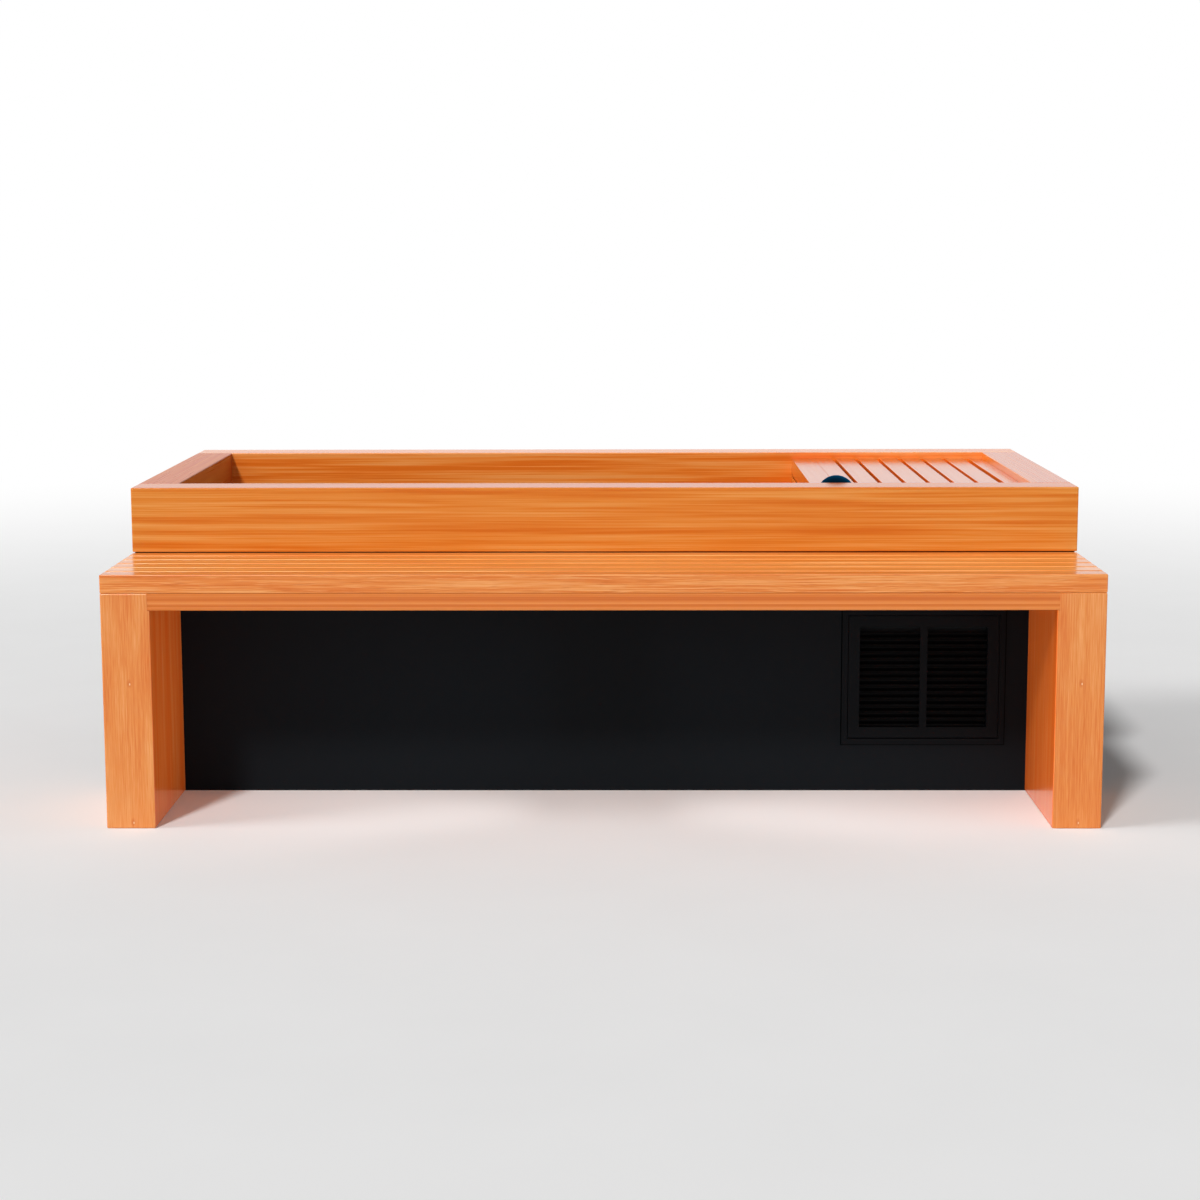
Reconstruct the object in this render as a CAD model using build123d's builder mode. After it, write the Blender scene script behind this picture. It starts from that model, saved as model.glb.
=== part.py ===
from build123d import *

import math
import os

# Cold plunge tub with a slatted bench, in millimetres
# +X runs along the tub to the equipment end, +Y from the bench to the back, +Z up.
# The origin is in the middle of the footprint, on the floor.

# Overall sizes
LENGTH = 2134
TUB_DEPTH = 982
TUB_HEIGHT = 698
BENCH_DEPTH = 360
BENCH_DROP = 2

# Timber collar that forms the rim
COLLAR_HEIGHT = 145.5
LONG_RAIL_WIDTH = 102
END_RAIL_WIDTH = 90
EDGE_ROUND = 2.5
JOINT_BEVEL = 1.2

# Deck and control shelf over the equipment bay
DECK_LENGTH = 495
DECK_DROP = 16
DECK_BOARD_THICKNESS = 20
DECK_FIT = 0.5
SHELF_OUTER_WIDTH = 59
SHELF_OUTER_THICKNESS = 42
SHELF_INNER_WIDTH = 46
SHELF_GAP = 9
DECK_SLAT_COUNT = 6
DECK_SLAT_GAP = 9.3
DECK_END_GAP = 12.5
DECK_END_BOARD_WIDTH = 36.5
SLAT_ROUND = 1.5
LEDGER_WIDTH = 22
LEDGER_HEIGHT = 40
LEDGER_FIT = 0.3
BATTEN_WIDTH = 40
BATTEN_THICKNESS = 20
BATTEN_GAP = 4
BULKHEAD_THICKNESS = 25
BULKHEAD_SLOT = 6

# Control knob and the valve that it turns
KNOB_DIAMETER = 80
KNOB_HEIGHT = 28
KNOB_RIM = 3
KNOB_OFFSET = 1
KNOB_SETBACK = 48
KNOB_FLUTE_COUNT = 8
KNOB_FLUTE_RADIUS = 16
KNOB_FLUTE_DEPTH = 2.5
KNOB_GAP = 0.4
SPINDLE_RADIUS = 5
SPINDLE_CLEARANCE = 0.05
SPINDLE_SEAT = 14
VALVE_RADIUS = 24
VALVE_HEIGHT = 66
VALVE_PORT_LENGTH = 8
VALVE_PORT_MARGIN = 5
VALVE_NECK_RADIUS = 11
VALVE_NECK_CLEARANCE = 1
VALVE_NUT_RADIUS = 19
VALVE_NUT_HEIGHT = 8
VALVE_CHAMBER_RADIUS = 17
VALVE_ROTOR_CLEARANCE = 0.3

# Charcoal skirt panels
SKIRT_REVEAL = 5
SKIRT_THICKNESS = 12
SKIRT_TOP_GAP = 1

# Square-tube frame inside the skirt
TUBE = 40
TUBE_WALL = 3
POST_INNER_X = 400
BASE_CROSSBAR_SETBACKS = (-962, -402, 138)

# Basin and its insulation
SHEET = 2
BASIN_CORNER = 30
BASIN_FLOOR_ROUND = 18
INSULATION = 30
BOARD_JOINT = 0.5
FLOOR_INSULATION = 40
FLANGE_INSET = 1
BAY_STRIP = 38
BAY_LIP = 12

# Fittings in the basin
PIPE_RADIUS = 12.5
PIPE_WALL = 2.5
SUCTION_COVER_RADIUS = 50
SUCTION_COVER_DEPTH = 14
SUCTION_COVER_WALL = 3
SUCTION_HOLE_COUNT = 12
SUCTION_HOLE_RADIUS = 4
SUCTION_RINGS = (18, 34)
RETURN_FLANGE_RADIUS = 34
RETURN_FLANGE_DEPTH = 6
FITTING_NECK_RADIUS = 20
FITTING_TAIL = 16
NECK_CLEARANCE = 0.5
SUCTION_SETBACK = 509
SUCTION_HEIGHT = 80
RETURN_SETBACK = 129
RETURN_DEPTH = 98.5
DRAIN_WALL_SETBACK = 82
DRAIN_SETBACK = 389
DRAIN_FLANGE_RADIUS = 36
DRAIN_FLANGE_DEPTH = 3
DRAIN_BODY_RADIUS = 19

# Access grille in the front skirt
GRILLE_WIDTH = 370
GRILLE_HEIGHT = 311
GRILLE_END_INSET = 156
GRILLE_DROP = 54.5
GRILLE_BORDER = 13
GRILLE_FLANGE = 2.5
GRILLE_SLEEVE = 3
GRILLE_SLEEVE_DEPTH = 46
GRILLE_CUT_CLEARANCE = 0.5
DOOR_CLEARANCE = 1.5
DOOR_DEPTH = 18
DOOR_RAIL = 25.5
DOOR_ROUND = 2.5
MULLION_WIDTH = 16.5
MULLION_DEPTH = 4.5
BLADE_COUNT = 14
BLADE_EDGE = 3.3
BLADE_THICKNESS = 1.2
BLADE_ANGLE = 40
HINGE_PIN_RADIUS = 2
HINGE_PIN_LENGTH = 20
HINGE_PIN_INSET = 4
HINGE_PIN_CLEARANCE = 0.05
CATCH_SIZE = (24, 8, 12)
CATCH_INSET = 60
CATCH_GAP = 0.3
PAD_THICKNESS = 18
PAD_CLEARANCE = 1
PAD_LIP = 10

# Chiller behind the grille
TRAY_SETBACKS = (56, 486)
TRAY_LAP = 16
TRAY_SHEET = 3
TRAY_LIP = 6
COIL_LENGTH = 290
COIL_DEPTH = 44
COIL_HEIGHT = 250
COIL_GAP = 18
COIL_PLATE = 4
COIL_PLATE_MARGIN = 5
COIL_TUBE_COUNT = 6
COIL_TUBE_PITCH = 41
COIL_TURN = 24
COIL_TURN_RADIUS = 18
COIL_STUB = 12
FIN_COUNT = 28
FIN_THICKNESS = 0.6
COPPER_RADIUS = 5
COPPER_WALL = 1
COPPER_BEND = 15
COPPER_BOSS_RADIUS = 8
SHROUD_WIDTH = 300
SHROUD_DEPTH = 30
SHROUD_WALL = 2
SHROUD_GAP = 2
FAN_RADIUS = 105
FAN_TIP_CLEARANCE = 5
FAN_RING_DEPTH = 24
FAN_HUB_RADIUS = 30
FAN_HUB_LENGTH = 24
FAN_BLADE_COUNT = 5
FAN_BLADE_CHORD = 44
FAN_BLADE_THICKNESS = 2
FAN_BLADE_ANGLE = 28
MOTOR_RADIUS = 40
MOTOR_LENGTH = 56
MOTOR_GAP = 6
MOTOR_SHAFT_RADIUS = 4
MOTOR_SHAFT_LENGTH = 26
MOTOR_SHAFT_CLEARANCE = 0.05
MOTOR_ARM_COUNT = 4
MOTOR_ARM_WIDTH = 14
MOTOR_ARM_THICKNESS = 4
COMPRESSOR_SETBACK = 146
COMPRESSOR_RADIUS = 75
COMPRESSOR_HEIGHT = 215
COMPRESSOR_CROWN = 28
COMPRESSOR_FOOT_RADIUS = 12
COMPRESSOR_FOOT_HEIGHT = 14
COMPRESSOR_PLATE = 4
DISCHARGE_Z = 200
VAPOUR_Z = 120
EXCHANGER_RADIUS = 55
EXCHANGER_HEIGHT = 400
EXCHANGER_CROWN = 20
COLUMN_SETBACK = 336
CHILLER_SETBACK = 269
DISCHARGE_STEP = 120
DISCHARGE_TURN_SETBACK = 411
LIQUID_STEP = 160
LIQUID_TURN_SETBACK = 389
BOSS_LENGTH = 10
BOSS_RADIUS = 17
PIPE_BEND = 18
OVERHEAD_CLEARANCE = 4
OVERHEAD_SETBACK = 96
RETURN_DROP_SETBACK = 61

# Pump and filter
PUMP_SETBACK = 126
PUMP_VOLUTE_RADIUS = 58
PUMP_VOLUTE_LENGTH = 44
PUMP_MOTOR_RADIUS = 48
PUMP_MOTOR_LENGTH = 90
PUMP_FOOT_WIDTH = 90
FILTER_RADIUS = 85
FILTER_WALL = 5
FILTER_HEADROOM = 67.5
FILTER_NECK = 12
FILTER_NECK_HEIGHT = 18
FILTER_INLET_DEPTH = 63
FILTER_OUTLET_Z = 100
CARTRIDGE_RADIUS = 62
CARTRIDGE_CORE = 22
CARTRIDGE_HEADROOM = 95
CARTRIDGE_CAP = 8
CARTRIDGE_PLEATS = 36
CARTRIDGE_PLEAT_DEPTH = 14
LID_HEIGHT = 18
LID_PLUG_DEPTH = 25
LID_CLEARANCE = 0.3
LID_BAR = (110, 16, 18)

# Drain, electrics and fixings
DRAIN_RUN_GAP = 31
DRAIN_VALVE_LENGTH = 62
DRAIN_VALVE_RADIUS = 20
DRAIN_SPIGOT_REACH = 50
DRAIN_SPIGOT_RADIUS = 13.45
DRAIN_SPIGOT_LENGTH = 15
DRAIN_SPIGOT_RECESS = 6
DRAIN_ACCESS_RADIUS = 34
DRAIN_STEM_RADIUS = 5
DRAIN_STEM_CLEARANCE = 0.05
DRAIN_LEVER_LENGTH = 90
DRAIN_LEVER_WIDTH = 16
DRAIN_LEVER_THICKNESS = 4
DRAIN_BONNET_HEIGHT = 8
DRAIN_STEM_BITE = 10
INLET_SETBACK = 386
INLET_Z = 220
INLET_FLANGE = 64
INLET_FLANGE_DEPTH = 3
INLET_BODY_RADIUS = 23
INLET_BODY_DEPTH = 46
INLET_SOCKET_RADIUS = 18
INLET_SOCKET_DEPTH = 28
INLET_PIN_COUNT = 3
INLET_PIN_CIRCLE = 8
INLET_PIN_RADIUS = 2.5
INLET_PIN_LENGTH = 20
CONTROL_BOX = (220, 70, 150)
CONTROL_BOX_SETBACK = 246
CONTROL_BOX_Z = 340
CONTROL_BOX_ROUND = 6
BOLT_RADIUS = 5
BOLT_CLEARANCE = 0.5
BOLT_HEAD_RADIUS = 9
BOLT_HEAD_HEIGHT = 6.4
BOLT_BITE = 36
BOLT_HEIGHTS = (150, 400)

# Bench
SEAT_BOARD_COUNT = 6
SEAT_BOARD_THICKNESS = 40
SEAT_GAP = 9
SEAT_EDGE_BOARD_WIDTH = 48.5
SEAT_BACK_CLEARANCE = 1
APRON_HEIGHT = 37
APRON_THICKNESS = 38
APRON_SETBACK = 0.5
APRON_HOUSING = 5
LEG_WIDTH = 105
LEG_ROUND = 3
SEAT_ROUND = 2.5
BENCH_BATTEN_WIDTH = 60
BENCH_BATTEN_THICKNESS = 25
BENCH_BATTEN_X = (-480, 0, 480)

# Places worked out from the sizes
END_X = LENGTH / 2
BENCH_FRONT = -(TUB_DEPTH + BENCH_DEPTH) / 2
TUB_FRONT = BENCH_FRONT + BENCH_DEPTH
TUB_BACK = TUB_FRONT + TUB_DEPTH
TUB_MIDDLE = (TUB_FRONT + TUB_BACK) / 2
IN_X = END_X - END_RAIL_WIDTH
IN_FRONT = TUB_FRONT + LONG_RAIL_WIDTH
IN_BACK = TUB_BACK - LONG_RAIL_WIDTH
COLLAR_BASE = TUB_HEIGHT - COLLAR_HEIGHT
DECK_TOP = TUB_HEIGHT - DECK_DROP
DECK_UNDER = DECK_TOP - DECK_BOARD_THICKNESS
DECK_X = IN_X - DECK_LENGTH
DECK_Y = (IN_FRONT + DECK_FIT, IN_BACK - DECK_FIT)
SHELF_SEAM = DECK_X + SHELF_OUTER_WIDTH
SHELF_END = SHELF_SEAM + SHELF_INNER_WIDTH
PANEL_START = SHELF_END + SHELF_GAP
PANEL_END = IN_X - DECK_FIT
SLOT_TOP = DECK_TOP - SHELF_OUTER_THICKNESS
BULKHEAD_TOP = SLOT_TOP - BULKHEAD_SLOT
SKIRT_FRONT = TUB_FRONT + SKIRT_REVEAL
SKIRT_BACK = TUB_BACK - SKIRT_REVEAL
SKIRT_X = END_X - SKIRT_REVEAL
FRAME_FRONT = SKIRT_FRONT + SKIRT_THICKNESS
FRAME_BACK = SKIRT_BACK - SKIRT_THICKNESS
FRAME_X = SKIRT_X - SKIRT_THICKNESS
FRAME_TOP = COLLAR_BASE - SHEET
BENCH_HEIGHT = COLLAR_BASE - BENCH_DROP
TOP_RAIL_BASE = FRAME_TOP - TUBE
BASIN_BASE = TUBE + FLOOR_INSULATION
BASIN_FLOOR = BASIN_BASE + SHEET
BASIN_X = (-IN_X, DECK_X)
WALL_X = DECK_X + SHEET
INSULATION_X = WALL_X + INSULATION
RETURN_Y = IN_FRONT + RETURN_SETBACK
DRAIN_Y = IN_FRONT + DRAIN_SETBACK
SUCTION_Y = IN_FRONT + SUCTION_SETBACK
CHILLER_Y = IN_FRONT + CHILLER_SETBACK
COMPRESSOR_X = INSULATION_X + COMPRESSOR_SETBACK
COLUMN_X = INSULATION_X + COLUMN_SETBACK
PUMP_X = INSULATION_X + PUMP_SETBACK
OVERHEAD_X = INSULATION_X + OVERHEAD_SETBACK
RETURN_DROP_X = INSULATION_X + RETURN_DROP_SETBACK
INLET_X = INSULATION_X + INLET_SETBACK
CONTROL_BOX_X = INSULATION_X + CONTROL_BOX_SETBACK


def span(low, high):
    """The middle and the length of a stretch."""
    return (low + high) / 2, high - low


def block(x, y, z, mode=Mode.ADD):
    """A box between a low and a high limit on each axis."""
    (cx, lx), (cy, ly), (cz, lz) = span(*x), span(*y), span(*z)
    with Locations((cx, cy, cz)):
        Box(lx, ly, lz, mode=mode)


def rod_x(x, y, z, radius, mode=Mode.ADD):
    """A round bar along X between two limits."""
    middle, length = span(*x)
    with Locations((middle, y, z)):
        Cylinder(radius, length, rotation=(0, 90, 0), mode=mode)


def rod_y(x, y, z, radius, mode=Mode.ADD):
    """A round bar along Y between two limits."""
    middle, length = span(*y)
    with Locations((x, middle, z)):
        Cylinder(radius, length, rotation=(90, 0, 0), mode=mode)


def rod_z(x, y, z, radius, mode=Mode.ADD):
    """A round bar along Z between two limits."""
    middle, length = span(*z)
    with Locations((x, y, middle)):
        Cylinder(radius, length, mode=mode)


def tube(points, radius, wall, bend):
    """A bent tube that follows a line of points."""
    with BuildPart() as piece:
        with BuildLine() as path:
            if len(points) > 2:
                FilletPolyline(*points, radius=bend)
            else:
                Line(*points)
        with BuildSketch(Plane(origin=points[0], z_dir=Vector(*points[1]) - Vector(*points[0]))):
            Circle(radius)
            Circle(radius - wall, mode=Mode.SUBTRACT)
        sweep(path=path.line)
    return piece.part


def save(piece, name):
    """Labels a finished piece and writes its file."""
    piece.part.label = name
    export_step(piece.part, f"parts/{name}.step")


os.makedirs("parts", exist_ok=True)

# Collar: front and back rails run the full length, the end rails butt between them
COLLAR_Z = (COLLAR_BASE, TUB_HEIGHT)

with BuildPart() as collar_front_rail:
    block((-END_X, END_X), (TUB_FRONT, IN_FRONT), COLLAR_Z)
    fillet(collar_front_rail.edges(), EDGE_ROUND)
save(collar_front_rail, "collar_front_rail")

with BuildPart() as collar_back_rail:
    block((-END_X, END_X), (IN_BACK, TUB_BACK), COLLAR_Z)
    fillet(collar_back_rail.edges(), EDGE_ROUND)
save(collar_back_rail, "collar_back_rail")

for name, ends in (("collar_left_rail", (-END_X, -IN_X)), ("collar_right_rail", (IN_X, END_X))):
    with BuildPart() as end_rail:
        block(ends, (IN_FRONT, IN_BACK), COLLAR_Z)
        fillet(end_rail.edges().filter_by(Axis.Y), EDGE_ROUND)
        chamfer(end_rail.faces().filter_by(Axis.Y).edges(), JOINT_BEVEL)
    save(end_rail, name)

# Basin: one welded tray with a flange that carries the collar and opens over the bay
BASIN_SIZE_X = BASIN_X[1] - BASIN_X[0]
BASIN_SIZE_Y = IN_BACK - IN_FRONT
BASIN_CENTRE = ((BASIN_X[0] + BASIN_X[1]) / 2, TUB_MIDDLE)
BAY_X = (DECK_X + BAY_STRIP, IN_X - BAY_LIP)
BAY_Y = (IN_FRONT + BAY_LIP, IN_BACK - BAY_LIP)
SUCTION_Z = BASIN_FLOOR + SUCTION_HEIGHT
RETURN_Z = FRAME_TOP - RETURN_DEPTH
DRAIN_X = DECK_X - DRAIN_WALL_SETBACK
DRAIN_PIPE_Z = BASIN_BASE - FLOOR_INSULATION / 2 + SHEET

with BuildPart() as basin:
    with BuildSketch(Plane.XY.offset(BASIN_BASE)):
        with Locations(BASIN_CENTRE):
            RectangleRounded(BASIN_SIZE_X + 2 * SHEET, BASIN_SIZE_Y + 2 * SHEET, BASIN_CORNER + SHEET)
    extrude(amount=COLLAR_BASE - BASIN_BASE)
    fillet(basin.edges().group_by(Axis.Z)[0], BASIN_FLOOR_ROUND + SHEET)
    offset(amount=-SHEET, openings=basin.faces().sort_by(Axis.Z)[-1])
    with BuildSketch(Plane.XY.offset(FRAME_TOP)):
        with Locations((0, TUB_MIDDLE)):
            Rectangle(2 * (FRAME_X - FLANGE_INSET), FRAME_BACK - FRAME_FRONT - 2 * FLANGE_INSET)
        with Locations(BASIN_CENTRE):
            RectangleRounded(BASIN_SIZE_X, BASIN_SIZE_Y, BASIN_CORNER, mode=Mode.SUBTRACT)
        with Locations((sum(BAY_X) / 2, sum(BAY_Y) / 2)):
            Rectangle(BAY_X[1] - BAY_X[0], BAY_Y[1] - BAY_Y[0], mode=Mode.SUBTRACT)
    extrude(amount=SHEET)
    rod_x((DECK_X - SHEET, WALL_X + SHEET), SUCTION_Y, SUCTION_Z, FITTING_NECK_RADIUS, Mode.SUBTRACT)
    rod_x((DECK_X - SHEET, WALL_X + SHEET), RETURN_Y, RETURN_Z, FITTING_NECK_RADIUS, Mode.SUBTRACT)
    with Locations((DRAIN_X, DRAIN_Y, BASIN_FLOOR)):
        Hole(DRAIN_BODY_RADIUS, FLOOR_INSULATION / 2)
save(basin, "basin")

# Insulation: four wall boards over a floor board, all against the basin, with thin joints
WALL_BOARD_Z = (BASIN_BASE + BOARD_JOINT, FRAME_TOP)
OUTER_Y = (IN_FRONT - SHEET - INSULATION, IN_BACK + SHEET + INSULATION)
OUTER_X = (BASIN_X[0] - SHEET - INSULATION, INSULATION_X)
END_BOARD_Y = (IN_FRONT - SHEET + BOARD_JOINT, IN_BACK + SHEET - BOARD_JOINT)
DRAIN_NOTCH = DRAIN_BODY_RADIUS + NECK_CLEARANCE

with BuildPart() as insulation_boards:
    block(OUTER_X, (OUTER_Y[0], IN_FRONT - SHEET), WALL_BOARD_Z)
    block(OUTER_X, (IN_BACK + SHEET, OUTER_Y[1]), WALL_BOARD_Z)
    block((OUTER_X[0], BASIN_X[0] - SHEET), END_BOARD_Y, WALL_BOARD_Z)
    block((WALL_X, INSULATION_X), END_BOARD_Y, WALL_BOARD_Z)
    for y, z in ((SUCTION_Y, SUCTION_Z), (RETURN_Y, RETURN_Z)):
        rod_x((WALL_X, INSULATION_X), y, z, FITTING_NECK_RADIUS + NECK_CLEARANCE, Mode.SUBTRACT)
    block(OUTER_X, OUTER_Y, (TUBE, BASIN_BASE))
    block((DRAIN_X - DRAIN_NOTCH, INSULATION_X), (DRAIN_Y - DRAIN_NOTCH, DRAIN_Y + DRAIN_NOTCH),
          (TUBE, BASIN_BASE), Mode.SUBTRACT)
save(insulation_boards, "insulation_boards")

# Bulkhead board on the flange strip, below the slot under the shelf
with BuildPart() as bulkhead_board:
    block((DECK_X, DECK_X + BULKHEAD_THICKNESS), DECK_Y, (COLLAR_BASE, BULKHEAD_TOP))
    fillet(bulkhead_board.edges().filter_by(Axis.Y), SLAT_ROUND)
save(bulkhead_board, "bulkhead_board")

# Ledgers on the inner faces of the long rails, which carry the shelf and the deck panel
LEDGER_TOP = DECK_UNDER - LEDGER_FIT
LEDGER_X = (DECK_X + BULKHEAD_THICKNESS, IN_X)
LEDGER_FRONT = (IN_FRONT, IN_FRONT + LEDGER_WIDTH)
LEDGER_BACK = (IN_BACK - LEDGER_WIDTH, IN_BACK)

with BuildPart() as deck_ledgers:
    block(LEDGER_X, LEDGER_FRONT, (LEDGER_TOP - LEDGER_HEIGHT, LEDGER_TOP))
    block(LEDGER_X, LEDGER_BACK, (LEDGER_TOP - LEDGER_HEIGHT, LEDGER_TOP))
save(deck_ledgers, "deck_ledgers")

# Control shelf: a thick outer plank, cut over the ledgers, and a thinner inner plank
KNOB_X = DECK_X + (SHELF_OUTER_WIDTH + SHELF_INNER_WIDTH) / 2 + KNOB_OFFSET
KNOB_Y = IN_FRONT + KNOB_SETBACK
NECK_HOLE = VALVE_NECK_RADIUS + VALVE_NECK_CLEARANCE

with BuildPart() as shelf_outer_plank:
    block((DECK_X, SHELF_SEAM), DECK_Y, (SLOT_TOP, DECK_TOP))
    fillet(shelf_outer_plank.edges().filter_by(Axis.Y), SLAT_ROUND)
    for y in ((IN_FRONT, LEDGER_FRONT[1] + DECK_FIT), (LEDGER_BACK[0] - DECK_FIT, IN_BACK)):
        block((LEDGER_X[0] - DECK_FIT, SHELF_SEAM), y, (SLOT_TOP, DECK_UNDER), Mode.SUBTRACT)
    rod_z(KNOB_X, KNOB_Y, (SLOT_TOP, DECK_TOP), NECK_HOLE, Mode.SUBTRACT)
save(shelf_outer_plank, "shelf_outer_plank")

with BuildPart() as shelf_inner_plank:
    block((SHELF_SEAM, SHELF_END), DECK_Y, (DECK_UNDER, DECK_TOP))
    fillet(shelf_inner_plank.edges().filter_by(Axis.Y), SLAT_ROUND)
    rod_z(KNOB_X, KNOB_Y, (DECK_UNDER, DECK_TOP), NECK_HOLE, Mode.SUBTRACT)
save(shelf_inner_plank, "shelf_inner_plank")

# Deck panel: slats and a narrower end board on two battens, lifted off in one piece
END_BOARD_START = PANEL_END - DECK_END_BOARD_WIDTH
SLAT_STRETCH = END_BOARD_START - DECK_END_GAP - PANEL_START
DECK_SLAT_WIDTH = (SLAT_STRETCH - (DECK_SLAT_COUNT - 1) * DECK_SLAT_GAP) / DECK_SLAT_COUNT
DECK_SLAT_PITCH = DECK_SLAT_WIDTH + DECK_SLAT_GAP
BATTEN_FRONT = LEDGER_FRONT[1] + BATTEN_GAP
BATTEN_BACK = LEDGER_BACK[0] - BATTEN_GAP
BATTEN_Z = (DECK_UNDER - BATTEN_THICKNESS, DECK_UNDER)

with BuildPart() as deck_slats:
    for index in range(DECK_SLAT_COUNT):
        start = PANEL_START + index * DECK_SLAT_PITCH
        block((start, start + DECK_SLAT_WIDTH), DECK_Y, (DECK_UNDER, DECK_TOP))
    block((END_BOARD_START, PANEL_END), DECK_Y, (DECK_UNDER, DECK_TOP))
    fillet(deck_slats.edges().filter_by(Axis.Y), SLAT_ROUND)
save(deck_slats, "deck_slats")

with BuildPart() as deck_battens:
    block((PANEL_START, PANEL_END), (BATTEN_FRONT, BATTEN_FRONT + BATTEN_WIDTH), BATTEN_Z)
    block((PANEL_START, PANEL_END), (BATTEN_BACK - BATTEN_WIDTH, BATTEN_BACK), BATTEN_Z)
save(deck_battens, "deck_battens")

# Control knob: a low dome with finger flutes round its side
KNOB_BASE = DECK_TOP + KNOB_GAP
KNOB_TOP = KNOB_BASE + KNOB_HEIGHT
KNOB_RADIUS = KNOB_DIAMETER / 2
FLUTE_CENTRE = KNOB_RADIUS + KNOB_FLUTE_RADIUS - KNOB_FLUTE_DEPTH

DOME_HEIGHT = KNOB_HEIGHT - KNOB_RIM
DOME_RADIUS = (KNOB_RADIUS ** 2 + DOME_HEIGHT ** 2) / (2 * DOME_HEIGHT)

with BuildPart() as control_knob:
    with Locations((KNOB_X, KNOB_Y, KNOB_TOP - DOME_RADIUS)):
        Sphere(DOME_RADIUS)
    rod_z(KNOB_X, KNOB_Y, (KNOB_BASE, KNOB_TOP), KNOB_RADIUS, Mode.INTERSECT)
    with Locations((KNOB_X, KNOB_Y, KNOB_TOP)):
        with PolarLocations(FLUTE_CENTRE, KNOB_FLUTE_COUNT):
            Cylinder(KNOB_FLUTE_RADIUS, 2 * KNOB_HEIGHT, mode=Mode.SUBTRACT)
    rod_z(KNOB_X, KNOB_Y, (KNOB_BASE, KNOB_BASE + SPINDLE_SEAT), SPINDLE_RADIUS, Mode.SUBTRACT)
save(control_knob, "control_knob")

# Diverter valve hung from the shelf by its neck and nut, and the spindle with its rotor
VALVE_TOP = SLOT_TOP - VALVE_NUT_HEIGHT
VALVE_BASE = VALVE_TOP - VALVE_HEIGHT
VALVE_WALL = VALVE_RADIUS - VALVE_CHAMBER_RADIUS
CHAMBER_Z = (VALVE_BASE + VALVE_WALL, VALVE_TOP - VALVE_WALL)
VALVE_PORT = VALVE_RADIUS + VALVE_PORT_LENGTH
FEED_PORT_Z = VALVE_BASE + PIPE_RADIUS + VALVE_PORT_MARGIN
JET_PORT_Z = VALVE_TOP - PIPE_RADIUS - VALVE_PORT_MARGIN
PIPE_BORE = PIPE_RADIUS - PIPE_WALL

with BuildPart() as diverter_valve:
    rod_z(KNOB_X, KNOB_Y, (VALVE_BASE, VALVE_TOP), VALVE_RADIUS)
    rod_z(KNOB_X, KNOB_Y, (VALVE_TOP, DECK_TOP), VALVE_NECK_RADIUS)
    with BuildSketch(Plane.XY.offset(VALVE_TOP)):
        with Locations((KNOB_X, KNOB_Y)):
            RegularPolygon(VALVE_NUT_RADIUS, 6)
    extrude(amount=VALVE_NUT_HEIGHT)
    rod_x((KNOB_X, KNOB_X + VALVE_PORT), KNOB_Y, FEED_PORT_Z, PIPE_RADIUS)
    rod_y(KNOB_X, (KNOB_Y, KNOB_Y + VALVE_PORT), JET_PORT_Z, PIPE_RADIUS)
    rod_z(KNOB_X, KNOB_Y, CHAMBER_Z, VALVE_CHAMBER_RADIUS, Mode.SUBTRACT)
    rod_x((KNOB_X, KNOB_X + VALVE_PORT), KNOB_Y, FEED_PORT_Z, PIPE_BORE, Mode.SUBTRACT)
    rod_y(KNOB_X, (KNOB_Y, KNOB_Y + VALVE_PORT), JET_PORT_Z, PIPE_BORE, Mode.SUBTRACT)
    rod_z(KNOB_X, KNOB_Y, (CHAMBER_Z[0], DECK_TOP), SPINDLE_RADIUS + SPINDLE_CLEARANCE, Mode.SUBTRACT)
save(diverter_valve, "diverter_valve")

ROTOR_Z = (CHAMBER_Z[0] + VALVE_ROTOR_CLEARANCE, CHAMBER_Z[1] - VALVE_ROTOR_CLEARANCE)

with BuildPart() as valve_spindle:
    rod_z(KNOB_X, KNOB_Y, (ROTOR_Z[0], KNOB_BASE + SPINDLE_SEAT), SPINDLE_RADIUS)
    with BuildSketch(Plane.XY.offset(ROTOR_Z[0])):
        with Locations((KNOB_X, KNOB_Y)):
            Circle(VALVE_CHAMBER_RADIUS - VALVE_ROTOR_CLEARANCE)
            Rectangle(2 * VALVE_CHAMBER_RADIUS, VALVE_CHAMBER_RADIUS, align=(Align.CENTER, Align.MIN),
                      mode=Mode.SUBTRACT)
            Circle(SPINDLE_RADIUS)
    extrude(amount=ROTOR_Z[1] - ROTOR_Z[0])
save(valve_spindle, "valve_spindle")

# Grille places: the frame's flange, its opening, the door and the louvre opening
GRILLE_X = (END_X - GRILLE_END_INSET - GRILLE_WIDTH, END_X - GRILLE_END_INSET)
GRILLE_TOP = BENCH_HEIGHT - SEAT_BOARD_THICKNESS - APRON_HEIGHT - GRILLE_DROP
GRILLE_Z = (GRILLE_TOP - GRILLE_HEIGHT, GRILLE_TOP)
FRAME_OPENING_X = (GRILLE_X[0] + GRILLE_BORDER, GRILLE_X[1] - GRILLE_BORDER)
FRAME_OPENING_Z = (GRILLE_Z[0] + GRILLE_BORDER, GRILLE_Z[1] - GRILLE_BORDER)
SLEEVE_X = (FRAME_OPENING_X[0] - GRILLE_SLEEVE, FRAME_OPENING_X[1] + GRILLE_SLEEVE)
SLEEVE_Z = (FRAME_OPENING_Z[0] - GRILLE_SLEEVE, FRAME_OPENING_Z[1] + GRILLE_SLEEVE)
SLEEVE_BACK = SKIRT_FRONT + GRILLE_SLEEVE_DEPTH
DOOR_X = (FRAME_OPENING_X[0] + DOOR_CLEARANCE, FRAME_OPENING_X[1] - DOOR_CLEARANCE)
DOOR_Z = (FRAME_OPENING_Z[0] + DOOR_CLEARANCE, FRAME_OPENING_Z[1] - DOOR_CLEARANCE)
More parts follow.
